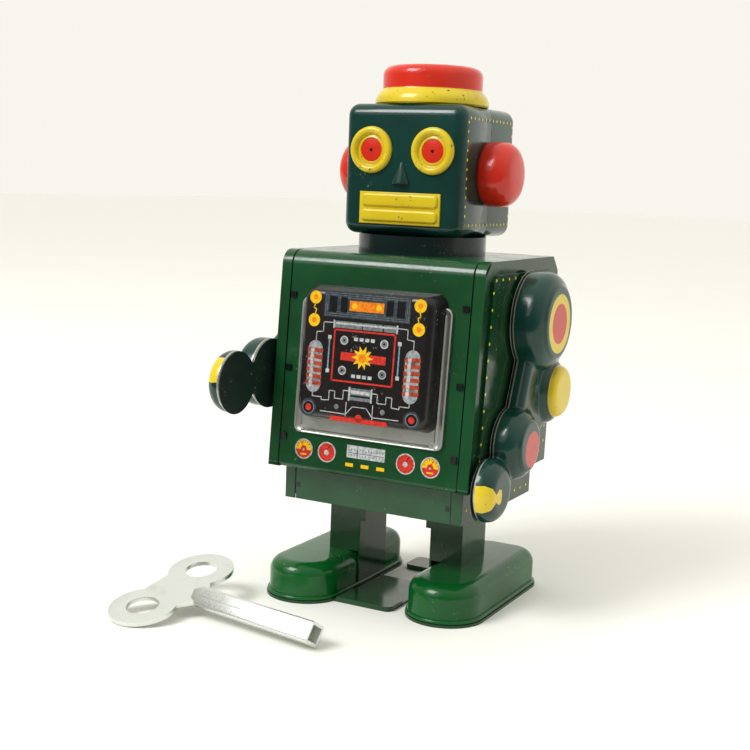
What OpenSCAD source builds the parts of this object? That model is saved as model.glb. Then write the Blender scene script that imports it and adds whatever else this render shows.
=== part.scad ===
// Wind-up tin walking robot with a loose winding key.
// +Z is up, the robot faces -Y, its own left side is +X.  Origin: on the floor, midway between the feet.
// Every shaft, hinge and crank runs along X.

/* [Sheet metal] */
// Thickness of the tinplate
sheet = 0.5; // [0.4:0.05:0.6]
// Height of the stamped relief on the side plates
relief = 0.8; // [0.4:0.1:1.0]

/* [Torso] */
// Width of the torso across the side plates
torso_w = 64; // [62:0.5:66]
// Height of the torso's lower edge above the floor
torso_low = 38.9; // [38:0.1:40]
// Height at which the top bends start
torso_high = 97.4; // [96:0.1:98]
// Height of the flat top
torso_top = 101.8; // [101:0.1:102]
// How far the front stands forward at the bottom
front_low = 29.2; // [28.5:0.1:30]
// How far the front stands forward at the top
front_high = 24.2; // [23.5:0.1:25]
// How far the back stands out at the bottom
rear_low = 29.2; // [28.5:0.1:30]
// How far the back stands out at the top
rear_high = 31.5; // [31:0.1:32]
// Depth of the bends along the top edges
top_bend = 4.2; // [3.5:0.1:5]
// Width of the flange that each side plate folds onto the front and back
flange = 3.2; // [3:0.1:4]

/* [Hips] */
// Width of the hips across the side plates
hip_w = 57.2; // [56:0.2:58]
// Height of the lower edge of the hips
hip_low = 28.7; // [28:0.1:29.5]
// How far the hips stand forward at their lower edge
hip_front = 24.6; // [24:0.1:25]
// How far the hips stand out at the back
hip_rear = 26.4; // [26:0.1:27]

/* [Chest] */
// Width of the black raised chest plate
chest_w = 43.6; // [42:0.2:44]
// Height of the chest plate's lower edge
chest_low = 54; // [53.5:0.1:54.5]
// Height of the chest plate's upper edge
chest_high = 92.4; // [92:0.1:93]
// How far the chest plate stands proud of the torso
chest_proud = 6; // [5.5:0.1:6.2]
// Width of the plated window frame behind it
window_w = 47.4; // [46.8:0.2:48]

/* [Head] */
// Width of the head
head_w = 37.6; // [37:0.2:38]
// Front face of the head, ahead of the axes
head_front_y = 13.8; // [13.5:0.1:14]
// Rear face of the head, behind the axes
head_rear_y = 24.4; // [24:0.1:25]
// Where the two head shells meet
head_seam_y = 5.6; // [5:0.1:6]
// Underside of the head
head_low = 107.2; // [107:0.1:107.5]
// Top of the head
head_high = 144.2; // [144:0.1:144.5]
// Radius of the head's rounded edges
head_round = 3.4; // [3:0.1:3.8]
// Radius of the neck collar
collar_r = 18.8; // [18:0.1:19]
// Height of the eyes
eye_z = 131.4; // [131:0.1:132]
// Half of the distance between the eyes
eye_x = 9.7; // [9.5:0.1:10]
// Radius of each ear drum
ear_r = 9.3; // [9:0.1:9.5]
// How far each ear stands out from the head
ear_out = 9.1; // [8.8:0.1:9.4]
// Radius of the cap's crown
crown_r = 14.6; // [14.2:0.1:15]
// Radius of the cap's brim
brim_r = 16.8; // [16.4:0.1:17.2]
// Total height of the robot
total_h = 155.8; // [155:0.2:157]

/* [Arms] */
// Height of the shoulder pins
shoulder_z = 84.5; // [84:0.1:85]
// Place of the shoulder pins, behind the axes
shoulder_y = 5; // [4.5:0.1:5.5]
// How far forward the robot's left arm is raised, in degrees from hanging
left_raise = 0; // [-10:1:40]
// How far forward the robot's right arm is raised, in degrees from hanging
right_raise = 37; // [-10:1:60]
// Thickness of an arm at the shoulder
arm_deep = 9.2; // [8.6:0.1:9.6]

/* [Feet and legs] */
// Sideways place of the middle of each foot
foot_x = 21.95; // [21.95:0.05:22.2]
// Width of a foot
foot_w = 21.6; // [21:0.1:21.6]
// How far the toe stands forward of the leg's middle
toe = 31.2; // [30.5:0.1:31.5]
// How far the heel stands behind the leg's middle
heel = 25.5; // [25:0.1:26]
// Height of a foot
foot_h = 11.3; // [11:0.1:12]
// Radius of a foot's rounded upper edge
foot_round = 4; // [3:0.1:4.5]
// Throw of the cranks
crank_r = 2.3; // [2.2:0.1:2.4]

/* [Clockwork] */
// Tooth size (module) of the gears
tooth = 0.6; // [0.6:0.01:0.61]
// Teeth on the great wheel
great_teeth = 40; // [40:1:40]
// Teeth on the crank axle's pinion
pinion_teeth = 12; // [12:1:12]
// Teeth on the second wheel
second_teeth = 36; // [36:1:36]
// Teeth on the escape pinion
escape_teeth = 9; // [9:1:9]
// Height of the crank axle
crank_z = 50; // [49.8:0.1:50.2]
// Place of the crank axle, behind the origin
crank_y = 0.5; // [0.4:0.1:0.6]

/* [Key] */
// Width of the square tube
key_side = 6; // [5.9:0.1:6]
// Length of the tube
key_len = 39.4; // [38:0.2:40]
// Half of the distance between the loops of the bow
loop_gap = 11.9; // [11.5:0.1:12.2]
// Outer radius of each loop
loop_r = 9.6; // [9.2:0.1:9.8]

/* [Hidden] */
$fn = 64;
eps = 0.01;
half_w = torso_w / 2;
hip_half = hip_w / 2;
key_wall = 0.85;
key_socket = key_side - 2 * key_wall;
winder_sq = key_socket - 0.3;
arm_x = half_w + relief + 0.75;
leg_in = 10.6;
leg_out = 21;
plate_out = 9;
plate_t = 0.8;
// centres of the train, as [y, z]
crank_at = [crank_y, crank_z];
winder_at = crank_at + 15.72 * [cos(30.5), sin(30.5)];
escape_at = crank_at + 13.62 * [cos(123.5), sin(123.5)];
pallet_at = escape_at + [0, 12.2];
foot_z = 0.8;
guide_z = 36;
collar_y = 2;
cap_y = 4.6;
ear_y = 5.6;

// ---------- helpers ----------

// Stands a drawing of [y, z] points up and gives it thickness along X, from x = from to x = to.
module along_x(from, to) {
  translate([from, 0, 0]) rotate([90, 0, 90]) linear_extrude(to - from) children();
}

// A round bar along X at a [y, z] place.
module bar(at, r, from, to, fn = 48) {
  translate([from, at[0], at[1]]) rotate([0, 90, 0]) cylinder(r = r, h = to - from, $fn = fn);
}

// A thing made for the +X side, or its mirror image for the -X side.
module on_side(side) {
  if (side > 0) children();
  else mirror([1, 0, 0]) children();
}

function front_at(z) = -front_low + (z - torso_low) * (front_low - front_high) / (torso_high - torso_low);
function rear_at(z) = rear_low + (z - torso_low) * (rear_high - rear_low) / (torso_high - torso_low);

// The torso and hips seen from the side, shrunk all round by "inset".
module torso_profile(inset = 0) {
  polygon([
    [-front_low + inset, torso_low], [-front_high + inset, torso_high],
    [-front_high + top_bend + inset * 0.4, torso_top - inset],
    [rear_high - top_bend - inset * 0.4, torso_top - inset],
    [rear_high - inset, torso_high], [rear_low - inset, torso_low],
    [hip_rear - inset, torso_low - 3.2], [hip_rear - inset, hip_low - (inset > 0 ? 1 : 0)],
    [-hip_front + inset, hip_low - (inset > 0 ? 1 : 0)]
  ]);
}

// The hips seen from the side: upright at the front and back.
module hip_profile(inset = 0) {
  translate([-hip_front + inset, hip_low - 1 + (inset > 0 ? 0 : 1)])
    square([hip_front + hip_rear - 2 * inset, torso_low - hip_low + (inset > 0 ? 2 : 0)]);
}

// The sheet wall of the torso's profile.
module torso_wall() {
  difference() {
    torso_profile();
    torso_profile(sheet);
  }
}

// A round tin with a rounded outer edge, standing on z = 0.
module pillow(r, h, edge) {
  rotate_extrude($fn = 72) {
    square([r, h - edge]);
    square([r - edge, h]);
    intersection() {
      translate([r - edge, h - edge]) circle(edge, $fn = 40);
      square([r, h]);
    }
  }
}

// ---------- casing ----------

// Front or back sheet: the full wall cut to the strip between the side flanges.
module casing_sheet(y_from, y_to) {
  intersection() {
    along_x(-half_w + flange, half_w - flange) torso_wall();
    difference() {
      translate([-half_w, y_from, 0]) cube([torso_w, y_to - y_from, torso_top + 1]);
      for (s = [-1, 1])
        translate([s * (hip_half + 5 - flange) - 5, y_from - 1, 0]) cube([10, y_to - y_from + 2, torso_low]);
    }
  }
}

module front_panel() {
  color("darkgreen") {
    casing_sheet(-40, -front_high + top_bend + 2);
    // triangular ends that close the step down to the hips
    for (s = [-1, 1])
      along_x(s * (hip_half - flange - sheet / 2) - sheet / 2, s * (hip_half - flange - sheet / 2) + sheet / 2)
        polygon([[-front_low + 0.2, torso_low], [-hip_front + 0.2, torso_low], [-hip_front + 0.2, hip_low]]);
  }
}

module back_panel() {
  color("darkgreen") casing_sheet(rear_high - top_bend - 2, 40);
}

module top_plate() {
  color("darkgreen") difference() {
    translate([-half_w + flange, -front_high + top_bend + 2, torso_top - sheet])
      cube([torso_w - 2 * flange, rear_high - top_bend - 2 + front_high - top_bend - 2, sheet]);
    translate([0, collar_y, torso_top - 2]) cylinder(r = 6, h = 4);
  }
}

// Side plate for +X: the flat sheet, its stamped panel, and flanges folded round the front, top and back.
module side_plate(winder = false) {
  color("green") difference() {
    union() {
      // torso part
      along_x(half_w - sheet, half_w) intersection() {
        torso_profile();
        translate([-40, torso_low]) square([80, 80]);
      }
      // raised stamped panel
      along_x(half_w - sheet, half_w + relief) stamped_outline(3.2);
      // hip part, set in, and the step that joins it
      along_x(hip_half - sheet, hip_half) hip_profile();
      along_x(hip_half - sheet, half_w) intersection() {
        torso_profile();
        translate([-40, torso_low]) square([80, sheet]);
      }
      // flanges
      along_x(half_w - flange + eps, half_w - sheet / 2) intersection() {
        torso_wall();
        translate([-40, torso_low]) square([80, 80]);
      }
      along_x(hip_half - flange + eps, hip_half - sheet / 2) difference() {
        hip_profile();
        hip_profile(sheet);
      }
    }
    // hollow behind the stamped panel
    along_x(half_w - 2 * sheet, half_w + relief - sheet) stamped_outline(3.2 + sheet);
    bar([shoulder_y, shoulder_z], 2.15, half_w - 5, half_w + 5);
    if (winder) bar(winder_at, 5, half_w - 5, half_w + 5);
  }
}

// Outline of the stamped panel, "edge" inside the torso's own outline.
module stamped_outline(edge) {
  polygon([
    [-front_low + edge + 1.2, torso_low + edge], [-front_high + edge + 1.2, torso_high - edge * 0.3],
    [-front_high + top_bend + edge, torso_top - edge - 0.6],
    [rear_high - top_bend - edge, torso_top - edge - 0.6],
    [rear_high - edge - 0.4, torso_high - edge * 0.3], [rear_low - edge - 0.4, torso_low + edge]
  ]);
}

module side_plate_left() { side_plate(); }
module side_plate_right() { mirror([1, 0, 0]) side_plate(winder = true); }

// The bent tabs that lock the sheets together along the seams.
module casing_tabs() {
  color("black") for (s = [-1, 1]) {
    for (z = [48, 68, 89])
      translate([s * (half_w - flange - 1.6) - 0.9, front_at(z) - 0.55, z - 0.9]) cube([1.8, 0.45, 1.8]);
    for (z = [48, 68, 89])
      translate([s * (half_w - flange - 1.6) - 0.9, rear_at(z) + 0.02, z - 0.9]) cube([1.8, 0.45, 1.8]);
  }
}

// ---------- chest ----------

// A flat rounded plate lying along the sloping front, between heights low and high.
module front_layer(w, low, high, from, to, r) {
  lean = atan((front_low - front_high) / (torso_high - torso_low));
  tall = (high - low) / cos(lean);
  translate([0, front_at(low), low]) rotate([90 - lean, 0, 0])
    translate([0, 0, from]) linear_extrude(to - from) rounded_rect(w, tall, r);
}

// A rectangle centred across x = 0 and rising from y = 0, with round corners.
module rounded_rect(w, tall, r) {
  translate([-w / 2 + r, 0]) square([w - 2 * r, tall]);
  translate([-w / 2, r]) square([w, tall - 2 * r]);
  for (x = [-w / 2 + r, w / 2 - r])
    for (y = [r, tall - r])
      translate([x, y]) circle(r, $fn = 32);
}

module window_frame() {
  color("silver") difference() {
    front_layer(window_w, 49.8, 88.8, 0.03, 0.9, 1.5);
    front_layer(chest_w - 6, 57, 86, -1, 2, 1);
  }
}

module chest_plate() {
  color("black") difference() {
    union() {
      front_layer(chest_w, chest_low, chest_high, 0.93, chest_proud - 2.4, 3);
      front_layer(chest_w - 1, chest_low + 0.5, chest_high - 0.5, 0.93, chest_proud - 1, 3);
      front_layer(chest_w - 3.2, chest_low + 1.6, chest_high - 1.6, 0.93, chest_proud, 2.6);
      front_layer(chest_w, 89.2, chest_high, 0.03, 1, 1.6);
    }
    front_layer(chest_w - 2, chest_low + 1, chest_high - 1, 0, chest_proud - 2.4 - sheet, 2.2);
    front_layer(chest_w - 4.4, chest_low + 2.2, chest_high - 2.2, 0, chest_proud - sheet, 2);
  }
}

module neck_collar() {
  color("darkslategray") difference() {
    translate([0, collar_y, torso_top + 0.02]) cylinder(r = collar_r, h = head_low - torso_top - 0.04, $fn = 96);
    translate([0, collar_y, torso_top - 1]) cylinder(r = collar_r - sheet, h = 10, $fn = 96);
  }
}

// Rounded box from x = -w/2, with all twelve edges rounded by r (spheres, bars and slabs, so it stays exact).
module rounded_box(w, y0, y1, z0, z1, r) {
  x = w / 2 - r;
  translate([-w / 2, y0 + r, z0 + r]) cube([w, y1 - y0 - 2 * r, z1 - z0 - 2 * r]);
  translate([-x, y0, z0 + r]) cube([2 * x, y1 - y0, z1 - z0 - 2 * r]);
  translate([-x, y0 + r, z0]) cube([2 * x, y1 - y0 - 2 * r, z1 - z0]);
  for (a = [-x, x]) {
    for (b = [y0 + r, y1 - r]) {
      translate([a, b, z0 + r]) cylinder(r = r, h = z1 - z0 - 2 * r, $fn = 32);
      for (c = [z0 + r, z1 - r]) translate([a, b, c]) sphere(r, $fn = 32);
    }
    for (c = [z0 + r, z1 - r])
      translate([a, y0 + r, c]) rotate([-90, 0, 0]) cylinder(r = r, h = y1 - y0 - 2 * r, $fn = 32);
  }
  for (b = [y0 + r, y1 - r])
    for (c = [z0 + r, z1 - r])
      translate([-x, b, c]) rotate([0, 90, 0]) cylinder(r = r, h = 2 * x, $fn = 32);
}

module head_shell() {
  difference() {
    rounded_box(head_w, -head_front_y, head_rear_y, head_low, head_high, head_round);
    rounded_box(head_w - 2 * sheet, -head_front_y + sheet, head_rear_y - sheet,
                head_low + sheet, head_high - sheet, head_round - sheet);
    translate([0, collar_y, head_low - 1]) cylinder(r = 6, h = 3);
    translate([0, cap_y, head_high - 2]) cylinder(r = 6, h = 3);
  }
}

module head_front() {
  color("darkslategray") {
    intersection() {
      head_shell();
      translate([-30, -30, 100]) cube([60, 30 + head_seam_y - 0.02, 60]);
    }
    for (s = [-1, 1])
      translate([s * eye_x, -head_front_y, eye_z]) rotate([90, 0, 0])
        rotate_extrude($fn = 64) translate([5.2, 0]) intersection() {
          circle(1.5, $fn = 32);
          translate([-2, -0.3]) square([4, 2]);
        }
    // nose
    translate([0, -head_front_y - 0.9, 121.6]) rotate([-90, 0, 0])
      linear_extrude(1) polygon([[-2.2, 0], [2.2, 0], [0.7, -6.2], [-0.7, -6.2]]);
    // mouth plate with two ribs
    translate([-12.8, -head_front_y - 0.5, 110.2]) cube([25.6, 0.6, 9]);
    for (z = [113.2, 116.4])
      translate([-12.4, -head_front_y - 0.4, z]) rotate([0, 90, 0]) cylinder(r = 0.6, h = 24.8, $fn = 24);
  }
}

module head_rear() {
  color("darkslategray") intersection() {
    head_shell();
    translate([-30, head_seam_y, 100]) cube([60, 30, 60]);
  }
}

module ear() {
  color("red") translate([head_w / 2 + 0.02, ear_y, 125.4]) rotate([0, 90, 0]) difference() {
    pillow(ear_r, ear_out, 4.4);
    translate([0, 0, -1]) pillow(ear_r - sheet, ear_out + 1 - sheet, 4);
  }
}

module ear_left() { ear(); }
module ear_right() { mirror([1, 0, 0]) ear(); }

module cap() {
  color("red") translate([0, cap_y, head_high + 0.02]) {
    h = total_h - head_high - 0.02;
    difference() {
      union() {
        pillow(crown_r, h, 3.2);
        cylinder(r1 = brim_r, r2 = crown_r, h = 4.4, $fn = 96);
      }
      translate([0, 0, -1]) pillow(crown_r - sheet, h + 1 - sheet, 2.8);
      translate([0, 0, -0.01]) cylinder(r1 = brim_r - sheet, r2 = crown_r - sheet, h = 3.8, $fn = 96);
    }
  }
}

// ---------- arms ----------

// Swellings of an arm as [y, z, radius, depth], from the shoulder pin.
blobs = [[0, 0, 14, 0], [8, -21.1, 9.9, 0.4], [-13.4, -33.6, 10, 1.4], [-27, -45, 8.9, 3.4]];
links = [[0, 1, 20], [1, 2, 15.6], [2, 3, 8]];

// One flat link between two swellings.
module arm_link(i, grow) {
  a = blobs[links[i][0]];
  b = blobs[links[i][1]];
  d = [b[0] - a[0], b[1] - a[1]];
  w = links[i][2] + 2 * grow;
  translate([a[0], a[1]]) rotate(atan2(d[1], d[0])) translate([0, -w / 2]) square([norm(d), w]);
}

module arm_outline(grow) {
  for (b = blobs) translate([b[0], b[1]]) circle(b[2] + grow, $fn = 72);
  for (i = [0 : 2]) arm_link(i, grow);
}

module arm_solid(inset) {
  for (b = blobs)
    translate([0.5, b[0], b[1]]) rotate([0, 90, 0]) pillow(b[2] - inset, arm_deep - b[3] - inset, 4.2 - inset);
  for (i = [0 : 2]) along_x(0.5, 5 - inset) arm_link(i, -inset);
}

module place_arm(side, raise) {
  on_side(side) translate([arm_x, shoulder_y, shoulder_z]) rotate([-raise, 0, 0]) children();
}

module arm_shell() {
  color("teal") {
    difference() {
      arm_solid(0);
      difference() {
        translate([-0.02, 0, 0]) arm_solid(sheet);
        translate([-2, -60, -70]) cube([2.52, 100, 100]);
      }
      translate([0.4, 0, 0]) rotate([0, 90, 0]) cylinder(r = 6, h = 3);
    }
  }
}

module arm_back() {
  color("dimgray") difference() {
    along_x(0, 0.49) arm_outline(0.3);
    bar([0, 0], 2.05, -1, 2);
    bar([-27, -45], 0.9, -1, 2);
  }
}

module arm_rivet() {
  color("silver") {
    bar([0, 0], 2, -2.6, 1.4);
    bar([0, 0], 3.2, 0.51, 1.1);
    bar([0, 0], 3.3, -3, -2.4);
  }
}

module arm_washer() {
  color("silver") difference() {
    bar([0, 0], 4.4, -0.62, -0.12);
    bar([0, 0], 2.1, -1, 1);
  }
}

module arm_left_shell() { place_arm(1, left_raise) arm_shell(); }
module arm_left_back() { place_arm(1, left_raise) arm_back(); }
module arm_left_rivet() { place_arm(1, left_raise) arm_rivet(); }
module arm_left_washer() { place_arm(1, left_raise) arm_washer(); }
module arm_right_shell() { place_arm(-1, right_raise) arm_shell(); }
module arm_right_back() { place_arm(-1, right_raise) arm_back(); }
module arm_right_rivet() { place_arm(-1, right_raise) arm_rivet(); }
module arm_right_washer() { place_arm(-1, right_raise) arm_washer(); }

// ---------- legs and feet ----------

// The left crank (+X) points back and the right one points forward, so each leg is shifted by the throw.
module place_leg(side) {
  on_side(side) translate([0, crank_y + side * crank_r, 0]) children();
}

module leg_channel() {
  color("darkgreen") difference() {
    along_x(leg_in + sheet + 0.02, leg_out) translate([-8.5, foot_h + 0.02]) square([17, 55 - foot_h]);
    along_x(leg_in - 1, leg_out - sheet) translate([-8.5 + sheet, foot_h - 1]) square([17 - 2 * sheet, 60 - foot_h]);
  }
}

module leg_inner() {
  color("gray") {
    difference() {
      along_x(leg_in, leg_in + sheet) polygon([
        [-8.5, foot_z + 0.02], [8.5, foot_z + 0.02], [8.5, 52], [5.5, 55], [-5.5, 55], [-8.5, 52]
      ]);
      bar([0, crank_z], 1.3, 0, 30);
      // slot that clears the guide rod round the whole turn
      along_x(0, 30) translate([-3.8, guide_z - 3.8]) square([7.6, 7.6]);
    }
    // lug folded forward at the hip
    translate([leg_in - 1.6, -8.5, 21]) cube([1.8, 2.5, 3.5]);
  }
}

// Outline of a foot in plan, "grow" larger than the foot itself.
module foot_plan(grow) {
  r = foot_w / 2 + grow;
  q = 7 + grow;
  y0 = -toe + foot_w / 2;
  y1 = heel - 7;
  translate([foot_x, 0]) {
    translate([0, y0]) circle(r, $fn = 72);
    translate([-r, y0]) square([2 * r, y1 - y0]);
    for (s = [-1, 1]) translate([s * (r - q), y1]) circle(q, $fn = 48);
    translate([-(r - q), y1]) square([2 * (r - q), q]);
  }
}

module foot_solid(inset) {
  r = foot_w / 2 - inset;
  q = 7 - inset;
  e = foot_round - inset;
  h = foot_h - foot_z - inset;
  y0 = -toe + foot_w / 2;
  y1 = heel - 7;
  translate([foot_x, 0, foot_z]) {
    translate([0, y0, 0]) pillow(r, h, e);
    for (s = [-1, 1]) translate([s * (r - q), y1, 0]) pillow(q, h, e);
    translate([0, y1, 0]) rotate([90, 0, 0]) linear_extrude(y1 - y0) arch(r, h, e);
    along_x(-(r - q), r - q) translate([y1, 0]) {
      square([q, h - e]);
      square([q - e, h]);
      translate([q - e, h - e]) circle(e, $fn = 40);
    }
  }
}

// Half-open arch: a rectangle 2r wide and h tall with its upper corners rounded by e.
module arch(r, h, e) {
  translate([-r, 0]) square([2 * r, h - e]);
  translate([-r + e, 0]) square([2 * (r - e), h]);
  for (s = [-1, 1]) translate([s * (r - e), h - e]) circle(e, $fn = 40);
}

module foot_shell() {
  color("green") difference() {
    union() {
      foot_solid(0);
      translate([0, 0, foot_z + 0.02]) linear_extrude(0.5) foot_plan(0.5);
    }
    translate([0, 0, -sheet]) foot_solid(sheet);
    translate([0, 0, foot_z - 1]) linear_extrude(1.6) foot_plan(-sheet);
    // gap for the leg's inner plate
    translate([leg_in - 1, -8.52, 0]) cube([sheet + 1.02, 17.04, 60]);
  }
}

// Sole plate with a tongue that reaches under the other leg, from y0 to y1.
// The tongue's edge is hemmed over from hem_from to hem_to.
module sole(y0, y1, hem_from, hem_to, reach = 8) {
  color("green") {
    linear_extrude(foot_z) {
      foot_plan(0.9);
      tongue(y0, y1, reach);
    }
    translate([0, 0, foot_z - eps]) linear_extrude(0.7) intersection() {
      tongue(hem_from, hem_to, reach);
      translate([-40, -60]) square([40 + leg_in - 0.9, 120]);
    }
  }
}

module tongue(y0, y1, reach) {
  translate([-reach + 2, y0]) square([foot_x + reach - 2, y1 - y0]);
  translate([-reach, y0 + 2]) square([4, y1 - y0 - 4]);
  for (y = [y0 + 2, y1 - 2]) translate([-reach + 2, y]) circle(2, $fn = 32);
}

module leg_left() { place_leg(1) leg_channel(); }
module leg_left_inner() { place_leg(1) leg_inner(); }
module foot_left() { place_leg(1) foot_shell(); }
module sole_left() { place_leg(1) sole(13, 23, 13, 23); }
module leg_right() { place_leg(-1) leg_channel(); }
module leg_right_inner() { place_leg(-1) leg_inner(); }
module foot_right() { place_leg(-1) foot_shell(); }
module sole_right() { place_leg(-1) sole(-23.5, 5, -23.5, -14); }

// ---------- clockwork ----------

// A gear outline: straight-flanked teeth, thin enough to run with play, first tooth at angle "turn".
module gear_shape(teeth, turn = 0, bore = 1) {
  pitch_r = teeth * tooth / 2;
  root_r = pitch_r - 1.15 * tooth;
  tip_r = pitch_r + 0.85 * tooth;
  step = 360 / teeth;
  difference() {
    polygon([for (i = [0 : teeth - 1]) each [
      for (k = [[-0.30, root_r], [-0.21, pitch_r], [-0.08, tip_r], [0.08, tip_r], [0.21, pitch_r], [0.30, root_r]])
        k[1] * [cos(turn + (i + k[0]) * step), sin(turn + (i + k[0]) * step)]
    ]]);
    circle(bore, $fn = 40);
  }
}

module gear(at, teeth, turn, bore, from, to) {
  along_x(from, to) translate(at) gear_shape(teeth, turn, bore);
}

// Angle of the line from one centre to another, seen along -X.
function line_angle(from, to) = atan2(to[1] - from[1], to[0] - from[0]);

module motor_plate() {
  color("lightgray") difference() {
    along_x(plate_out - plate_t, plate_out) {
      translate([-18, 38]) square([45, 44]);
      // lobe that holds the guide rod
      translate([crank_y - 4, 33]) square([8, 6]);
      // ears that reach the front and back sheets
      translate([front_at(43) + sheet + 0.05, 42]) square([-front_at(43) - 17, 5]);
      translate([front_at(76) + sheet + 0.05, 75]) square([-front_at(76) - 17, 5]);
      translate([20, 42]) square([rear_at(42) - 20 - sheet - 0.05, 5]);
      translate([20, 75]) square([rear_at(75) - 20 - sheet - 0.05, 5]);
    }
    bar(crank_at, 1.56, 0, 20);
    bar(winder_at, 2.26, 0, 20);
    bar(escape_at, 0.76, 0, 20);
    bar(pallet_at, 0.66, 0, 20);
    bar([crank_y, guide_z], 1.02, 0, 20);
  }
}

module motor_plate_left() { motor_plate(); }
module motor_plate_right() { mirror([1, 0, 0]) motor_plate(); }

pillar_places = [[-15.5, 41], [-15.5, 79], [24.5, 41], [24.5, 79]];

module motor_pillars() {
  inner = plate_out - plate_t;
  color("silver") {
    for (p = pillar_places) bar(p, 1.5, -inner + 0.01, inner - 0.01);
    // short post that holds the outer end of the mainspring
    bar(winder_at + 12.4 * [cos(45), sin(45)], 0.9, -inner + 0.01, -0.9);
  }
}

// Fixed rod across the hips that guides both legs.
module guide_rod() {
  color("silver") {
    bar([crank_y, guide_z], 1, -14, 14);
    for (x = [-plate_out - 0.5, plate_out + 0.02])
      bar([crank_y, guide_z], 1.9, x, x + 0.48);
  }
}

function spiral(a, turns, r0, r1, half) = (r0 + (r1 - r0) * a / (360 * turns) + half) * [cos(a + 45), sin(a + 45)];

module mainspring() {
  turns = 5;
  color("steelblue") along_x(-7.6, -1.2) translate(winder_at)
    polygon(concat(
      [for (a = [0 : 15 : 360 * turns]) spiral(a, turns, 3, 11.2, 0.2)],
      [for (a = [360 * turns : -15 : 0]) spiral(a, turns, 3, 11.2, -0.2)]));
}

module winding_arbor() {
  color("silver") {
    bar(winder_at, 2.2, -12, plate_out + 0.6);
    // square end for the key
    translate([-half_w - 1.3, winder_at[0], winder_at[1]]) rotate([0, 90, 0])
      translate([-winder_sq / 2, -winder_sq / 2, 0]) cube([winder_sq, winder_sq, half_w + 1.3 - 10]);
    bar(winder_at, 3.2, plate_out + 0.1, plate_out + 0.7);
  }
}

module ratchet_wheel() {
  color("goldenrod") along_x(-0.5, 0.4) translate(winder_at) difference() {
    polygon([for (i = [0 : 13]) each [
      5.8 * [cos(i * 360 / 14), sin(i * 360 / 14)],
      4.7 * [cos(i * 360 / 14 + 3), sin(i * 360 / 14 + 3)]
    ]]);
    circle(2.2, $fn = 40);
  }
}

module click() {
  color("silver") along_x(-0.5, 0.4) translate(winder_at) difference() {
    union() {
      translate([-7.9, 3]) circle(1.5, $fn = 32);
      polygon([[-8.7, 3.6], [-6.9, 3.2], [-5.85, -1.2], [-6.3, -2.2], [-7.3, -0.6], [-9.2, 2.4]]);
    }
    translate([-7.9, 3]) circle(0.66, $fn = 32);
  }
}

module great_wheel() {
  color("goldenrod") {
    gear(winder_at, great_teeth, line_angle(winder_at, crank_at), 2.26, 1.2, 2.2);
    // pin that the click rocks on
    bar(winder_at + [-7.9, 3], 0.6, -0.9, 1.21);
  }
}

module crank_axle() {
  color("silver") bar(crank_at, 1.5, -9.9, 9.9);
}

module crank_pinion() {
  color("silver") gear(crank_at, pinion_teeth, line_angle(crank_at, winder_at) + 180 / pinion_teeth, 1.5, 0.6, 2.8);
}

module second_wheel() {
  color("goldenrod") gear(crank_at, second_teeth, line_angle(crank_at, escape_at), 1.5, 5, 6);
}

// Crank disc with its pin and the pin's riveted head.
module crank() {
  pin = [crank_y + crank_r, crank_z];
  color("silver") {
    difference() {
      bar(crank_at, 4.4, 9.3, 10.3);
      bar(crank_at, 1.5, 9, 9.9);
    }
    bar(pin, 1.24, 10.2, 11.6);
    bar(pin, 2.2, 11.45, 12.2);
  }
}

module crank_left() { crank(); }
module crank_right() { mirror([1, 0, 0]) translate([0, 2 * crank_y, 2 * crank_z]) rotate([180, 0, 0]) crank(); }

module escape_arbor() {
  color("silver") {
    bar(escape_at, 0.7, -9.4, 9.4);
    gear(escape_at, escape_teeth, line_angle(escape_at, crank_at) + 180 / escape_teeth, 0.5, 4.6, 6.4);
  }
}

module escape_wheel() {
  color("goldenrod") along_x(-1, 0) translate(escape_at) difference() {
    polygon([for (i = [0 : 11]) each [
      6.5 * [cos(i * 30), sin(i * 30)], 4.4 * [cos(i * 30 + 15), sin(i * 30 + 15)]
    ]]);
    circle(0.7, $fn = 32);
  }
}

module pallet_arbor() {
  color("silver") bar(pallet_at, 0.6, -9.4, 9.4);
}

// Rocking weight with two pins that the escape wheel pushes from side to side.
module pallet() {
  color("lightgray") {
    along_x(1, 2) translate(pallet_at) difference() {
      union() {
        circle(2.2, $fn = 40);
        for (s = [-1, 1]) rotate(s * 34 - 90) translate([0, -0.8]) square([7.6, 1.6]);
        for (s = [-1, 1]) rotate(90 + s * 62) translate([0, -1]) square([5, 2]);
        for (s = [-1, 1]) rotate(90 + s * 62) translate([5, 0]) circle(2, $fn = 32);
      }
      circle(0.6, $fn = 32);
    }
    for (s = [-1, 1])
      bar(pallet_at + 7 * [cos(s * 34 - 90), sin(s * 34 - 90)], 0.45, -1.4, 1.01, 24);
  }
}

// ---------- key ----------

// The key lies on the floor: the tube's far end and the nearer loop of the bow touch it.
module place_key() {
  translate([-34, -57.4, 5.08]) rotate([0, 0, -7.5]) rotate([0, 1.3, 0]) rotate([12.2, 0, 0]) children();
}

module key_tube() {
  color("silver") place_key() rotate([45, 0, 0]) difference() {
    translate([0, -key_side / 2, -key_side / 2]) cube([key_len, key_side, key_side]);
    translate([1, -key_socket / 2, -key_socket / 2]) cube([key_len, key_socket, key_socket]);
  }
}

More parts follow.
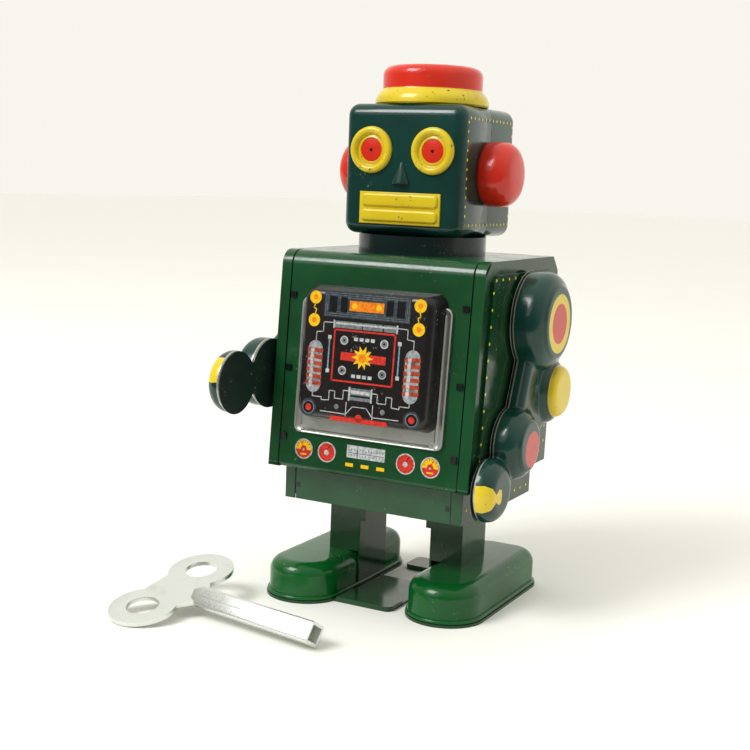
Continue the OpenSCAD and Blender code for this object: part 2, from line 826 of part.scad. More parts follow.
// Flat bow: two loops joined by a waist, and a tail that enters the tube.
module key_bow() {
  half = 0.6;
  color("silver") place_key() translate([0, 0, -half]) linear_extrude(2 * half) difference() {
    union() {
      for (s = [-1, 1]) translate([-12.2, s * loop_gap]) circle(loop_r, $fn = 72);
      polygon([[-19.6, -6.5], [-18.6, 0], [-19.6, 6.5], [-5, 6.5], [-1.5, 3.2], [-0.02, 3.2], [-0.02, -3.2], [-1.5, -3.2], [-5, -6.5]]);
    }
    for (s = [-1, 1]) translate([-12.2, s * loop_gap]) circle(4.65, $fn = 48);
  }
}

front_panel();
back_panel();
top_plate();
side_plate_left();
side_plate_right();
casing_tabs();
window_frame();
chest_plate();
neck_collar();
head_front();
head_rear();
ear_left();
ear_right();
cap();
arm_left_shell();
arm_left_back();
arm_left_rivet();
arm_left_washer();
arm_right_shell();
arm_right_back();
arm_right_rivet();
arm_right_washer();
leg_left();
leg_left_inner();
foot_left();
sole_left();
leg_right();
leg_right_inner();
foot_right();
sole_right();
motor_plate_left();
motor_plate_right();
motor_pillars();
guide_rod();
mainspring();
winding_arbor();
ratchet_wheel();
click();
great_wheel();
crank_axle();
crank_pinion();
second_wheel();
crank_left();
crank_right();
escape_arbor();
escape_wheel();
pallet_arbor();
pallet();
key_tube();
key_bow();
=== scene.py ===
# %% [markdown]
# # A wind-up tin robot
# This lesson dresses a walking tin robot and its loose winding key.
# The clockwork, the casing and the joints come in as a finished engineering model.
# Nothing here moves or changes it.
# Around it go the pressed and printed tin pieces that the eye really sees: head, cap, arms, feet, chest and key.

import math

import bmesh
import bpy
from mathutils import Matrix, Vector


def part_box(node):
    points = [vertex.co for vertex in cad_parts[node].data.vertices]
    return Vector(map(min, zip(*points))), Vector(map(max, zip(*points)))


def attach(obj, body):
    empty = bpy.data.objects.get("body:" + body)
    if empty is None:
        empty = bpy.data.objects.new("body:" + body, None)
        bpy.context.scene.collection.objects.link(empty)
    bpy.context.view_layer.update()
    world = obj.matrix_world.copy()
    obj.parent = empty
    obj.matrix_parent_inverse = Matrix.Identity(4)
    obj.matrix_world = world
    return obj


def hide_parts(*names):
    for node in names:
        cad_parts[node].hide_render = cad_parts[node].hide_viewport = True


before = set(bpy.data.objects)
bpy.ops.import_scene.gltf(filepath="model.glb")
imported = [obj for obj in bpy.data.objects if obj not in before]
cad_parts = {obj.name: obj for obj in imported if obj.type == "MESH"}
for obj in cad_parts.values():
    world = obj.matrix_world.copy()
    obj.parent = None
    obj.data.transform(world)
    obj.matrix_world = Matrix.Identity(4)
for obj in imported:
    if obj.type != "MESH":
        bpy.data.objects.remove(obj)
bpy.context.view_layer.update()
MM = 0.001

# %% [markdown]
# ## Camera
# The camera comes first, so that every piece is judged from where the toy is meant to be seen.
# It stands to the robot's left, a little above its waist, about 400 mm away, and leans two degrees.
# A long lens keeps the box-shaped torso from looking like a wedge.

# %% Camera
CAMERA_AT = Vector((167.5, -342.5, 122.5)) * MM
TURNED, ABOVE, LEAN = (math.radians(a) for a in (27.8, 8.6, 2.2))


def camera_axes():
    """The camera's right, up and backward directions."""
    back = Vector((math.sin(TURNED) * math.cos(ABOVE), -math.cos(TURNED) * math.cos(ABOVE), math.sin(ABOVE)))
    right = Vector((math.cos(TURNED), math.sin(TURNED), 0))
    up = back.cross(right)
    return (
        right * math.cos(LEAN) + up * math.sin(LEAN),
        up * math.cos(LEAN) - right * math.sin(LEAN),
        back,
    )


view = bpy.data.cameras.new("view")
view.lens = 61.8
view.sensor_width = 36
view.clip_start = 0.01
camera = bpy.data.objects.new("camera", view)
bpy.context.scene.collection.objects.link(camera)
turn = Matrix(camera_axes()).transposed().to_4x4()
camera.matrix_world = Matrix.Translation(CAMERA_AT) @ turn
bpy.context.scene.camera = camera
print("the camera stands", round(CAMERA_AT.length * 1000), "mm from the origin")

# %% [markdown]
# ## Light
# Gloss paint shows its shape by what it reflects, so the room matters more than the lamps.
# The room is bright overhead and behind the toy, as a table in front of a pale wall is, and dim on the side that
# the toy faces: that keeps the enamel deep, and the plated key bright. A lamp and a broad
# high window shine from the left.

# %% Light
bpy.context.scene.view_settings.view_transform = "Standard"
world = bpy.data.worlds.new("pale_room")
bpy.context.scene.world = world
world.use_nodes = True
room_nodes = world.node_tree
room = room_nodes.nodes["Background"]
way = room_nodes.nodes.new("ShaderNodeTexCoord").outputs["Generated"]
# how far each direction points up and away from the toy's face
uphill = room_nodes.nodes.new("ShaderNodeVectorMath")
uphill.operation = "DOT_PRODUCT"
room_nodes.links.new(way, uphill.inputs[0])
uphill.inputs[1].default_value = (0.15, 0.8, 1.0)
level = room_nodes.nodes.new("ShaderNodeMapRange")
for name, value in (("From Min", -0.45), ("From Max", 0.9), ("To Min", 0.16), ("To Max", 1.07)):
    level.inputs[name].default_value = value
room_nodes.links.new(uphill.outputs["Value"], level.inputs["Value"])
# the wall that the camera sees is evenly lit
seen = room_nodes.nodes.new("ShaderNodeLightPath").outputs["Is Camera Ray"]
wall = room_nodes.nodes.new("ShaderNodeMix")
room_nodes.links.new(seen, wall.inputs["Factor"])
room_nodes.links.new(level.outputs["Result"], wall.inputs[2])
wall.inputs[3].default_value = 0.935
room_nodes.links.new(wall.outputs[0], room.inputs["Strength"])
room.inputs["Color"].default_value = (1.0, 0.985, 0.915, 1)


def hang(light, at, way, pointing):
    """Puts a light at a place, with one of its axes along a direction."""
    holder = bpy.data.objects.new(light.name, light)
    bpy.context.scene.collection.objects.link(holder)
    holder.location = at
    holder.rotation_euler = way.to_track_quat(pointing, "Y").to_euler()


LAMP_AT, LAMP_AIM = Vector((-0.45, -0.75, 0.85)), Vector((0, 0, 0.08))
lamp = bpy.data.lights.new("lamp_above", "AREA")
lamp.size, lamp.energy = 0.45, 8.5
hang(lamp, LAMP_AT, LAMP_AIM - LAMP_AT, "-Z")
sun = bpy.data.lights.new("high_window", "SUN")
sun.angle, sun.energy = math.radians(50), 0.65
hang(sun, (0, 0, 0), Vector((-0.4, -0.8, 0.65)), "Z")
print("a lamp, a high window and a pale room")

# %% [markdown]
# ## Hand tools
# Every new piece is made as by hand: a simple shape is added at its size, opened in edit mode, and shaped there.
# The next few helpers only save typing. Each operator works on all that is selected, so each one starts by
# deselecting everything, and faces or edges are then chosen by where they are.

# %% Hand tools: choosing
def let_go():
    """Leaves edit mode and deselects every object."""
    if bpy.context.mode != "OBJECT":
        bpy.ops.object.mode_set(mode="OBJECT")
    bpy.ops.object.select_all(action="DESELECT")


def take(*pieces):
    """Selects these pieces alone; the first is the active one."""
    let_go()
    for piece in pieces:
        piece.select_set(True)
    bpy.context.view_layer.objects.active = pieces[0]


def open_up(piece):
    """Goes into edit mode on one piece, with nothing selected."""
    take(piece)
    bpy.ops.object.mode_set(mode="EDIT")
    bpy.ops.mesh.select_all(action="DESELECT")


def middle(part):
    """The middle of a corner, an edge or a face, in millimetres."""
    if isinstance(part, bmesh.types.BMVert):
        return part.co / MM
    if isinstance(part, bmesh.types.BMEdge):
        return (part.verts[0].co + part.verts[1].co) / 2 / MM
    return part.calc_center_median() / MM


def choose(kind, test):
    """In edit mode, selects the verts, edges or faces for which the test holds."""
    modes = {"verts": (True, False, False), "edges": (False, True, False), "faces": (False, False, True)}
    bpy.context.tool_settings.mesh_select_mode = modes[kind]
    bpy.ops.mesh.select_all(action="DESELECT")
    shape = bmesh.from_edit_mesh(bpy.context.edit_object.data)
    for part in [part for part in getattr(shape, kind) if test(part)]:
        part.select_set(True)
    shape.select_flush_mode()
    bmesh.update_edit_mesh(bpy.context.edit_object.data)


def choose_all():
    bpy.ops.mesh.select_all(action="SELECT")


def along(edge, axis):
    """True where an edge runs along one of the axes 0, 1 or 2."""
    way = edge.verts[1].co - edge.verts[0].co
    return way.length > 0 and abs(way[axis]) > 0.98 * way.length


print("choosing tools ready")

# %% Hand tools: shaping
def block(name, low, high):
    """A box between two corners in millimetres, selected and active."""
    let_go()
    low, high = Vector(low), Vector(high)
    bpy.ops.mesh.primitive_cube_add(size=1, location=(low + high) / 2 * MM, scale=(high - low) * MM)
    piece = bpy.context.object
    piece.name = name
    settle(piece)
    return piece


def settle(piece):
    """Puts a piece's place, turn and size into its mesh."""
    take(piece)
    bpy.ops.object.transform_apply(location=True, rotation=True, scale=True)


def put(piece, matrix):
    """Moves a finished shape with a matrix given in millimetres."""
    move = matrix.copy()
    move.translation = move.translation * MM
    piece.matrix_world = move
    settle(piece)


def bevel(size, segments):
    """Rounds the chosen edges."""
    bpy.ops.mesh.bevel(offset=size * MM, segments=segments, profile=0.5, affect="EDGES", clamp_overlap=True)


def round_edges(size, segments, test):
    """Rounds the edges for which the test holds."""
    choose("edges", test)
    bevel(size, segments)


def extrude(way):
    """Extrudes what is chosen by a step in metres."""
    bpy.ops.mesh.extrude_region_move(TRANSFORM_OT_translate={"value": way})


def resize(share, about):
    """Scales what is chosen about a point in metres."""
    bpy.ops.transform.resize(value=share, center_override=about)


def copy_of(piece):
    take(piece)
    bpy.ops.object.duplicate()
    return bpy.context.object


def finish_with(piece, kind, **settings):
    """Adds one modifier and applies it."""
    let_go()
    modifier = piece.modifiers.new(kind.lower(), kind)
    for name, value in settings.items():
        setattr(modifier, name, value)
    take(piece)
    bpy.ops.object.modifier_apply(modifier=modifier.name)


def tidy_faces(piece):
    """Merges doubled corners and turns every face outwards."""
    open_up(piece)
    choose_all()
    bpy.ops.mesh.remove_doubles(threshold=0.002 * MM)
    bpy.ops.mesh.normals_make_consistent(inside=False)
    let_go()


def smooth(piece, angle=35):
    """Smooth shading, with a crease where faces meet more sharply than the angle."""
    take(piece)
    bpy.ops.object.shade_smooth_by_angle(angle=math.radians(angle))


def join(name, *pieces):
    take(*pieces)
    if len(pieces) > 1:
        bpy.ops.object.join()
    pieces[0].name = name
    return pieces[0]


print("shaping tools ready")

# %% [markdown]
# A drum, a dome or a cap is pressed round, so its outline is drawn once as a row of points and spun about its axis.
# The row starts as a plane merged to one point, and each further point is extruded from the last.

# %% Hand tools: spinning
def drawn(name, points):
    """A row of points in metres joined by edges, left open in edit mode."""
    let_go()
    bpy.ops.mesh.primitive_plane_add(size=0.2 * MM, location=points[0])
    piece = bpy.context.object
    piece.name = name
    settle(piece)
    open_up(piece)
    bpy.context.tool_settings.mesh_select_mode = (True, False, False)
    choose_all()
    bpy.ops.mesh.merge(type="CENTER")
    for before, after in zip(points, points[1:]):
        extrude(after - before)
    return piece


def spun(name, outline, centre, axis, steps):
    """Spins an outline of (radius, height) points in millimetres about an axis through a centre."""
    up = Vector(axis)
    out = Vector((0, 0, 1)) if abs(up.x) > 0.5 else Vector((1, 0, 0))
    piece = drawn(name, [(Vector(centre) + out * r + up * h) * MM for r, h in outline])
    choose_all()
    bpy.ops.mesh.spin(
        steps=steps, angle=2 * math.pi, center=Vector(centre) * MM, axis=up, use_auto_merge=True
    )
    let_go()
    tidy_faces(piece)
    return piece


def arc(centre_r, centre_h, radius, start, end, count=6):
    """Points of a round corner for an outline, with angles in degrees from the outward direction."""
    angles = [math.radians(start + (end - start) * i / count) for i in range(count + 1)]
    return [(centre_r + radius * math.cos(a), centre_h + radius * math.sin(a)) for a in angles]


print("spinning tool ready")

# %% [markdown]
# ## How a finish is built
# A material is a small graph of nodes. One function adds a node, sets it and links it, and one turns a
# colour as read off a paint card (sRGB hex) into the linear numbers that the renderer works in.

# %% Finish tools
def paint(code):
    """A hex colour as linear red, green, blue and alpha."""
    parts = [int(code[i : i + 2], 16) / 255 for i in (1, 3, 5)]
    return tuple(c / 12.92 if c <= 0.04045 else ((c + 0.055) / 1.055) ** 2.4 for c in parts) + (1,)


def node(tree, kind, settings=None, links=None):
    """Adds one node: settings go to its properties or its inputs, links join its inputs to other nodes' outputs."""
    made = tree.nodes.new("ShaderNode" + kind)
    for name, value in (settings or {}).items():
        if isinstance(name, str) and name in made.bl_rna.properties:
            setattr(made, name, value)
        else:
            made.inputs[name].default_value = value
    for name, source in (links or {}).items():
        tree.links.new(source, made.inputs[name])
    return made


def new_finish(name, roughness, metallic=0.0, ior=1.5):
    """A material with its shader and its place input. Returns the material, its tree, the shader and the place."""
    finish = bpy.data.materials.new(name)
    finish.use_nodes = True
    tree = finish.node_tree
    shader = tree.nodes["Principled BSDF"]
    shader.inputs["Roughness"].default_value = roughness
    shader.inputs["Metallic"].default_value = metallic
    shader.inputs["IOR"].default_value = ior
    place = tree.nodes.new("ShaderNodeTexCoord").outputs["Object"]
    return finish, tree, shader, place


def noise(tree, place, size, detail=2.0, lift=0.5):
    """Cloudy variation whose patches are about size millimetres across."""
    made = node(tree, "TexNoise", {"Scale": 1 / (size * MM), "Detail": detail, "Roughness": lift}, {"Vector": place})
    return made.outputs["Fac"]


def between(tree, value, low, high, to_low=0.0, to_high=1.0):
    """Stretches a value from one span to another, and stops at the ends."""
    made = node(
        tree, "MapRange",
        {"From Min": low, "From Max": high, "To Min": to_low, "To Max": to_high, "clamp": True},
        {"Value": value},
    )
    return made.outputs["Result"]


def sums(tree, kind, first, second):
    """One arithmetic step on two values; a plain number stays on the node."""
    made = node(tree, "Math", {"operation": kind})
    for i, value in enumerate((first, second)):
        if isinstance(value, (int, float)):
            made.inputs[i].default_value = value
        else:
            tree.links.new(value, made.inputs[i])
    return made.outputs[0]


def mixed(tree, share, first, second):
    """Blends two colours; each is a hex code or the output of another node."""
    made = node(tree, "Mix", {"data_type": "RGBA"})
    for i, value in ((0, share), (6, first), (7, second)):
        if isinstance(value, str):
            made.inputs[i].default_value = paint(value)
        else:
            tree.links.new(value, made.inputs[i])
    return made.outputs[2]


print("finish tools ready")

# %% [markdown]
# ## Baked enamel on tinplate
# Litho enamel is printed flat on the sheet and varnished before the sheet is pressed.
# So it is thin and very glossy, the sheet's gentle waves show in its reflections, and where it has been
# knocked the dark primer or the bright tin shows in chips about a millimetre across.
# Two noises make a chip: a fine one gives its shape, and a coarse one keeps chips together in worn patches.

# %% Enamel
def enamel(name, colour, shade, wear=0.5, gloss=0.13, tin="#8d8f8a", waves=0.06, ior=1.46):
    """Varnished litho enamel. Wear from 0 to 1 sets how much is chipped."""
    finish, tree, shader, place = new_finish(name, gloss, ior=ior)
    cloud = noise(tree, place, 22, 3)
    tone = mixed(tree, between(tree, cloud, 0.35, 0.65), colour, shade)
    chip = noise(tree, place, 0.9, 3, 0.6)
    patch = noise(tree, place, 9, 2)
    patchy = between(tree, patch, 0.66 - 0.2 * wear, 0.72 - 0.2 * wear)
    worn = sums(tree, "MULTIPLY", between(tree, chip, 0.64, 0.67), patchy)
    tree.links.new(mixed(tree, worn, tone, tin), shader.inputs["Base Color"])
    grime = noise(tree, place, 4, 4, 0.6)
    dulled = between(tree, grime, 0.4, 0.75, gloss, gloss + 0.12)
    rough = sums(tree, "MAXIMUM", dulled, sums(tree, "MULTIPLY", worn, 0.55))
    tree.links.new(rough, shader.inputs["Roughness"])
    sheet = node(
        tree, "Bump", {"Strength": 0.5, "Distance": waves * MM}, {"Height": noise(tree, place, 11, 1)}
    )
    skin = node(
        tree, "Bump", {"Strength": 0.25, "Distance": 0.01 * MM},
        {"Height": noise(tree, place, 0.8, 1), "Normal": sheet.outputs["Normal"]},
    )
    pit = node(
        tree, "Bump", {"Strength": 0.8, "Distance": 0.04 * MM, "invert": True},
        {"Height": worn, "Normal": skin.outputs["Normal"]},
    )
    tree.links.new(pit.outputs["Normal"], shader.inputs["Normal"])
    return finish


green = enamel("green_litho_enamel", "#174c29", "#123e20", wear=0.35, tin="#54605a")
# a darker copy of the green enamel for the side plates: painted shade, because those sides face away from the lamps
green_with_painted_shade = enamel("green_litho_enamel_painted_shade", "#133a20", "#0e2f1a", wear=0.3, tin="#4c5852")
teal = enamel("teal_litho_enamel", "#0f3f36", "#0b332d", wear=0.25, tin="#56635e")
collar_teal = enamel("dark_teal_litho_enamel", "#0b2624", "#081c1b", wear=0.3, tin="#3c4644")
foot_green = enamel("bright_green_litho_enamel", "#0c5c24", "#084e1e", wear=0.4, tin="#6f7f70", ior=1.4)
leg_green = enamel("deep_green_litho_enamel", "#12421f", "#0e361a", wear=0.3, tin="#5c6a5e")
red = enamel("red_litho_enamel", "#dc3421", "#cf2a1a", wear=0.25, tin="#5a2a22")
yellow = enamel("yellow_litho_enamel", "#e4cd2c", "#d8bc20", wear=0.95, tin="#4f4a26")
black = enamel("black_litho_enamel", "#1d1819", "#151213", wear=0.4, tin="#777570", gloss=0.2)
print("enamels:", green.name, teal.name, foot_green.name, red.name, yellow.name, black.name)

# %% [markdown]
# ## Plated and bare metal
# The key and the window frame are steel with a thin bright plating over sheet that was rolled and pressed,
# so they mirror the room softly and carry faint dull patches and hair-fine scratches.
# Clockwork parts are blanked from rolled steel and brass: the rolling leaves a faint grain one way.

# %% Metals
def metal(name, colour, shade, rough=0.22, grain=(1, 1, 1), grain_size=0.5, stain=0.4):
    """Rolled or plated sheet metal. Grain stretches the fine pattern along one axis."""
    finish, tree, shader, place = new_finish(name, rough, metallic=1.0)
    cloud = noise(tree, place, 7, 4, 0.6)
    tone = mixed(tree, between(tree, cloud, 0.62 - 0.2 * stain, 0.8), colour, shade)
    tree.links.new(tone, shader.inputs["Base Color"])
    stretched = node(tree, "Mapping", {"Scale": grain}, {"Vector": place}).outputs["Vector"]
    lines = noise(tree, stretched, grain_size, 3, 0.7)
    tree.links.new(between(tree, lines, 0.3, 0.75, rough, rough + 0.16), shader.inputs["Roughness"])
    bump = node(tree, "Bump", {"Strength": 0.3, "Distance": 0.015 * MM}, {"Height": lines})
    wave = node(
        tree, "Bump", {"Strength": 0.5, "Distance": 0.05 * MM},
        {"Height": noise(tree, place, 6, 2), "Normal": bump.outputs["Normal"]},
    )
    tree.links.new(wave.outputs["Normal"], shader.inputs["Normal"])
    return finish


plated = metal("bright_plated_steel", "#dfe2de", "#cfd2cd", rough=0.24, stain=0.3)
frame_plate = metal("dull_plated_steel", "#b9bbb5", "#9b9d97", rough=0.34, stain=0.5)
tin = metal("rolled_tinplate", "#a6a7a0", "#8c8d86", rough=0.36, grain=(1, 0.1, 1), stain=0.5)
steel = metal("blanked_clock_steel", "#a8a9a8", "#84827c", rough=0.28, grain=(0.15, 1, 1))
brass = metal("rolled_clock_brass", "#c9a55a", "#a8853e", rough=0.26, grain=(1, 0.15, 1))
blued = metal("blued_spring_steel", "#4c5664", "#39414e", rough=0.25, grain=(0.1, 1, 1))
print("metals:", plated.name, tin.name, brass.name, blued.name)

# %% [markdown]
# ## Printed ink
# The instrument panel is printed in spot colours. Ink lies under the same varnish as the enamel, so its
# gloss matches; up close each colour is slightly uneven, with pin-holes where the plate beneath shows.

# %% Inks
def ink(name, colour, shade, ground="#1d1819"):
    """One spot colour with soft unevenness and small pin-holes to the ground colour."""
    finish, tree, shader, place = new_finish(name, 0.22)
    tone = mixed(tree, between(tree, noise(tree, place, 0.9, 2), 0.4, 0.62), colour, shade)
    hole = between(tree, noise(tree, place, 0.45, 2, 0.6), 0.72, 0.75)
    tree.links.new(mixed(tree, hole, tone, ground), shader.inputs["Base Color"])
    skin = node(tree, "Bump", {"Strength": 0.25, "Distance": 0.01 * MM}, {"Height": noise(tree, place, 0.8, 1)})
    tree.links.new(skin.outputs["Normal"], shader.inputs["Normal"])
    return finish


ink_yellow = ink("yellow_ink", "#f2c51c", "#e6b410")
ink_orange = ink("orange_ink", "#ee8a1e", "#dd7414")
ink_red = ink("red_ink", "#d23a2c", "#bb2b22")
ink_white = ink("white_ink", "#c3c6c6", "#9fa4a5")
ink_silver = ink("silver_ink", "#a3a7a9", "#7f8486")
ink_grey = ink("grey_ink", "#7d8284", "#63686a")
ink_slate = ink("slate_ink", "#3c464c", "#2b343a")
ink_blue = ink("blue_ink", "#7fa6b8", "#5d8498")
ink_black = ink("black_ink", "#131518", "#0c0d10")
ink_copper = ink("copper_ink", "#b04a32", "#8c3524")
border_yellow = ink("border_yellow_ink", "#e3da3c", "#c6be2c", ground="#16442a")
print("eleven inks")

# %% [markdown]
# ## Handing a piece over
# A finished piece gets its name, its finish and the body it moves with.
# Where it stands for a plain engineering solid, that solid is hidden and only keeps its weight and its contact.

# %% Handing over
def hand_over(piece, name, body, slot, *finishes, replaces=()):
    """Names and paints a piece and lets it ride on a body."""
    piece.name = name
    piece.data.name = name
    if finishes:
        piece.data.materials.clear()
        for finish in finishes:
            piece.data.materials.append(finish)
    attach(piece, body)
    if replaces:
        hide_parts(*replaces)
    print(name, len(piece.data.polygons), "faces")
    return piece


def dress(finish, *names):
    """Gives an engineering solid its finish."""
    for name in names:
        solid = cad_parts[name]
        solid.data.materials.clear()
        solid.data.materials.append(finish)


dress(green, "front_panel", "back_panel", "top_plate")
# the side plates take the darker copy of the green, which is painted shade
dress(green_with_painted_shade, "side_plate_left", "side_plate_right")
dress(collar_teal, "neck_collar")
dress(leg_green, "leg_left", "leg_right", "leg_left_inner", "leg_right_inner", "sole_left", "sole_right")
# the casing tabs are dressed in black ink: painted shade for the slots they sit in
dress(ink_black, "casing_tabs")
dress(tin, "motor_plate_left", "motor_plate_right")
dress(steel, "arm_left_rivet", "arm_right_rivet", "arm_left_washer", "arm_right_washer")
dress(steel, "motor_pillars", "guide_rod", "winding_arbor", "click", "crank_axle", "crank_pinion")
dress(steel, "crank_left", "crank_right", "escape_arbor", "pallet_arbor", "pallet")
dress(brass, "ratchet_wheel", "great_wheel", "second_wheel", "escape_wheel")
dress(blued, "mainspring")
print("engineering solids dressed")

# %% [markdown]
# ## The sloping front
# The torso's front leans back by about five degrees. Everything on it is drawn flat, with x across and y up from
# the chest plate's lower edge, and then laid on the slope by one matrix.

# %% The sloping front
FRONT_LOW, FRONT_SLOPE, CHEST_LOW = -29.2, 5 / 58.5, 54.0
FRONT_LEAN = math.atan(FRONT_SLOPE)
on_front = (
    Matrix.Translation((0, FRONT_LOW + (CHEST_LOW - 38.9) * FRONT_SLOPE, CHEST_LOW))
    @ Matrix.Rotation(math.pi / 2 - FRONT_LEAN, 4, "X")
)
print("the front leans", round(math.degrees(FRONT_LEAN), 1), "degrees")

# %% [markdown]
# ## Front sheet
# The front is one sheet folded over the shoulders and stepped in at the hips. Sheet never folds sharply, so every
# bend is an arc. Beside it the side plates' flanges fold round the corners, and a fine dark seam is left between.
# A fold is drawn from the side as a row of points, the row is extruded across, and Solidify gives it thickness.

# %% Front sheet
SHEET = 0.4
HIP_FRONT, HIP_LOW, TORSO_LOW = -24.6, 28.7, 38.9
FRONT_HALF, SEAM_GAP, TORSO_HALF, HIP_HALF, FLANGE = 28.8, 0.32, 32.0, 28.6, 3.2


def folded(name, outline, low, high, rounded=0.12):
    """A sheet folded along X: the outline runs through the middle of the sheet, in (y, z) millimetres."""
    sheet = drawn(name, [Vector((low, y, z)) * MM for y, z in outline])
    bpy.context.tool_settings.mesh_select_mode = (False, True, False)
    choose_all()
    extrude(((high - low) * MM, 0, 0))
    let_go()
    tidy_faces(sheet)
    finish_with(sheet, "SOLIDIFY", thickness=SHEET * MM, offset=0.0)
    finish_with(sheet, "BEVEL", width=rounded * MM, segments=3, limit_method="ANGLE", angle_limit=math.radians(60))
    tidy_faces(sheet)
    return sheet


def front_outline(out):
    """From the torso's lower edge up the front and over the shoulder, moved outwards by a distance."""
    upright = 180 - math.degrees(FRONT_LEAN)
    lower = arc(-27.79, 40.1, 1.3 + out, 255, upright, 6)
    bend = arc(-19.79, 97.4, 4.4 + out, upright, 90, 9)
    return lower + bend + [(-18.0, 101.8 + out)]


half = SHEET / 2
hip_fold = [(HIP_FRONT + half, HIP_LOW), (HIP_FRONT + half, TORSO_LOW - 1.0)]
hip_fold += arc(HIP_FRONT - 0.8, TORSO_LOW - 1.0, 1.0, 0, 90, 4)
front = folded("front", front_outline(-half), -FRONT_HALF + SEAM_GAP, FRONT_HALF - SEAM_GAP)
hips = folded("hips", hip_fold, -HIP_HALF + FLANGE + SEAM_GAP, HIP_HALF - FLANGE - SEAM_GAP)
front = join("front", front, hips)
smooth(front, 40)
finish_with(front, "WEIGHTED_NORMAL", keep_sharp=True)
hand_over(front, "front_sheet", "casing", "green_enamel", green, replaces=["front_panel"])

for side, label in ((-1, "right"), (1, "left")):
    inner, outer = FRONT_HALF * side, (TORSO_HALF + 0.06) * side
    corner = folded("corner", front_outline(0.08 - half), min(inner, outer), max(inner, outer), 0.18)
    inner, outer = (HIP_HALF - FLANGE) * side, (HIP_HALF + 0.06) * side
    straight = [(HIP_FRONT - 0.08 + half, HIP_LOW - 0.02), (HIP_FRONT - 0.08 + half, TORSO_LOW - 0.3)]
    low_corner = folded("low_corner", straight, min(inner, outer), max(inner, outer), 0.18)
    corner = join("corner", corner, low_corner)
    smooth(corner, 40)
    finish_with(corner, "WEIGHTED_NORMAL", keep_sharp=True)
    hand_over(corner, "corner_flange_" + label, "casing", "green_enamel", green)

# %% [markdown]
# Where the tabs of the hips are clenched, a small square notch is left beside each seam. The notch is not cut: a
# thin black block on the sheet is painted shade for it.

# %% Hip notches, painted shade
notch_shade_blocks = []
for side in (-1, 1):
    # a thin black block laid on the sheet, painted shade where the notch is
    notch_shade = block("notch_shade", (24.2 * side - 0.55, HIP_FRONT - 0.1, 32.3), (24.2 * side + 0.55, HIP_FRONT + 0.2, 33.7))
    open_up(notch_shade)
    round_edges(0.15, 2, lambda e: along(e, 1))
    notch_shade_blocks.append(notch_shade)
let_go()
notch_shade_blocks = join("hip_notch_painted_shade", *notch_shade_blocks)
smooth(notch_shade_blocks, 40)
# the notches are painted shade in black ink
hand_over(notch_shade_blocks, "hip_notch_painted_shade", "casing", "black_enamel", ink_black)

# %% [markdown]
# ## Plated window frame
# A thin plated sheet is clenched under the chest plate, and its border shows as a stepped frame.
# A slab is rounded at its corners, and its face is inset and sunk, then inset and raised, for the pressed steps.

# %% Window frame
window = block("window", (-23.7, -4.2, 0.05), (23.7, 34.9, 0.9))
open_up(window)
round_edges(2.2, 6, lambda e: along(e, 2))
for step, rise in ((0.5, 0), (0.45, -0.35), (0.8, 0), (0.3, 0.3), (0.55, 0)):
    choose("faces", lambda f: f.normal.z > 0.99 and abs(middle(f).x) < 1)
    bpy.ops.mesh.inset(thickness=step * MM, depth=rise * MM)
round_edges(0.12, 2, lambda e: middle(e).z > 0.8 and len(e.link_faces) == 2 and e.calc_face_angle() > 0.6)
let_go()
put(window, on_front)
smooth(window, 40)
hand_over(window, "window_plate", "casing", "plated_steel", frame_plate, replaces=["window_frame"])

# %% [markdown]
# ## Raised chest plate
# The black instrument panel is pressed 6 mm deep, with drafted walls and well rounded edges.
# A block's face is drawn in for the draft, its four upright edges are rounded, and last the rim of the face.

# %% Chest plate
CHEST_PROUD = 6.0
chest = block("chest", (-21.8, 0.1, 0.1), (21.8, 38.6, CHEST_PROUD))
open_up(chest)
choose("faces", lambda f: f.normal.z > 0.99)
resize((0.915, 0.93, 1), Vector((0, 19.3, CHEST_PROUD)) * MM)
round_edges(3.2, 8, lambda e: abs(e.verts[0].co.z - e.verts[1].co.z) > 2 * MM)
round_edges(1.5, 8, lambda e: middle(e).z > CHEST_PROUD - 0.05)
let_go()
put(chest, on_front)
smooth(chest, 40)
hand_over(chest, "chest_cover", "casing", "black_enamel", black, replaces=["chest_plate"])

# %% [markdown]
# ## Drawing in ink
# The dials, wires and coils of the panel are flat shapes a few hundredths of a millimetre thick.
# Each colour is one mesh: circles, bars and strokes are added in edit mode at their own places, and a Solidify
# modifier gives the whole sheet its thickness. Higher colours overprint lower ones.

# %% Ink shapes
INK = 0.02


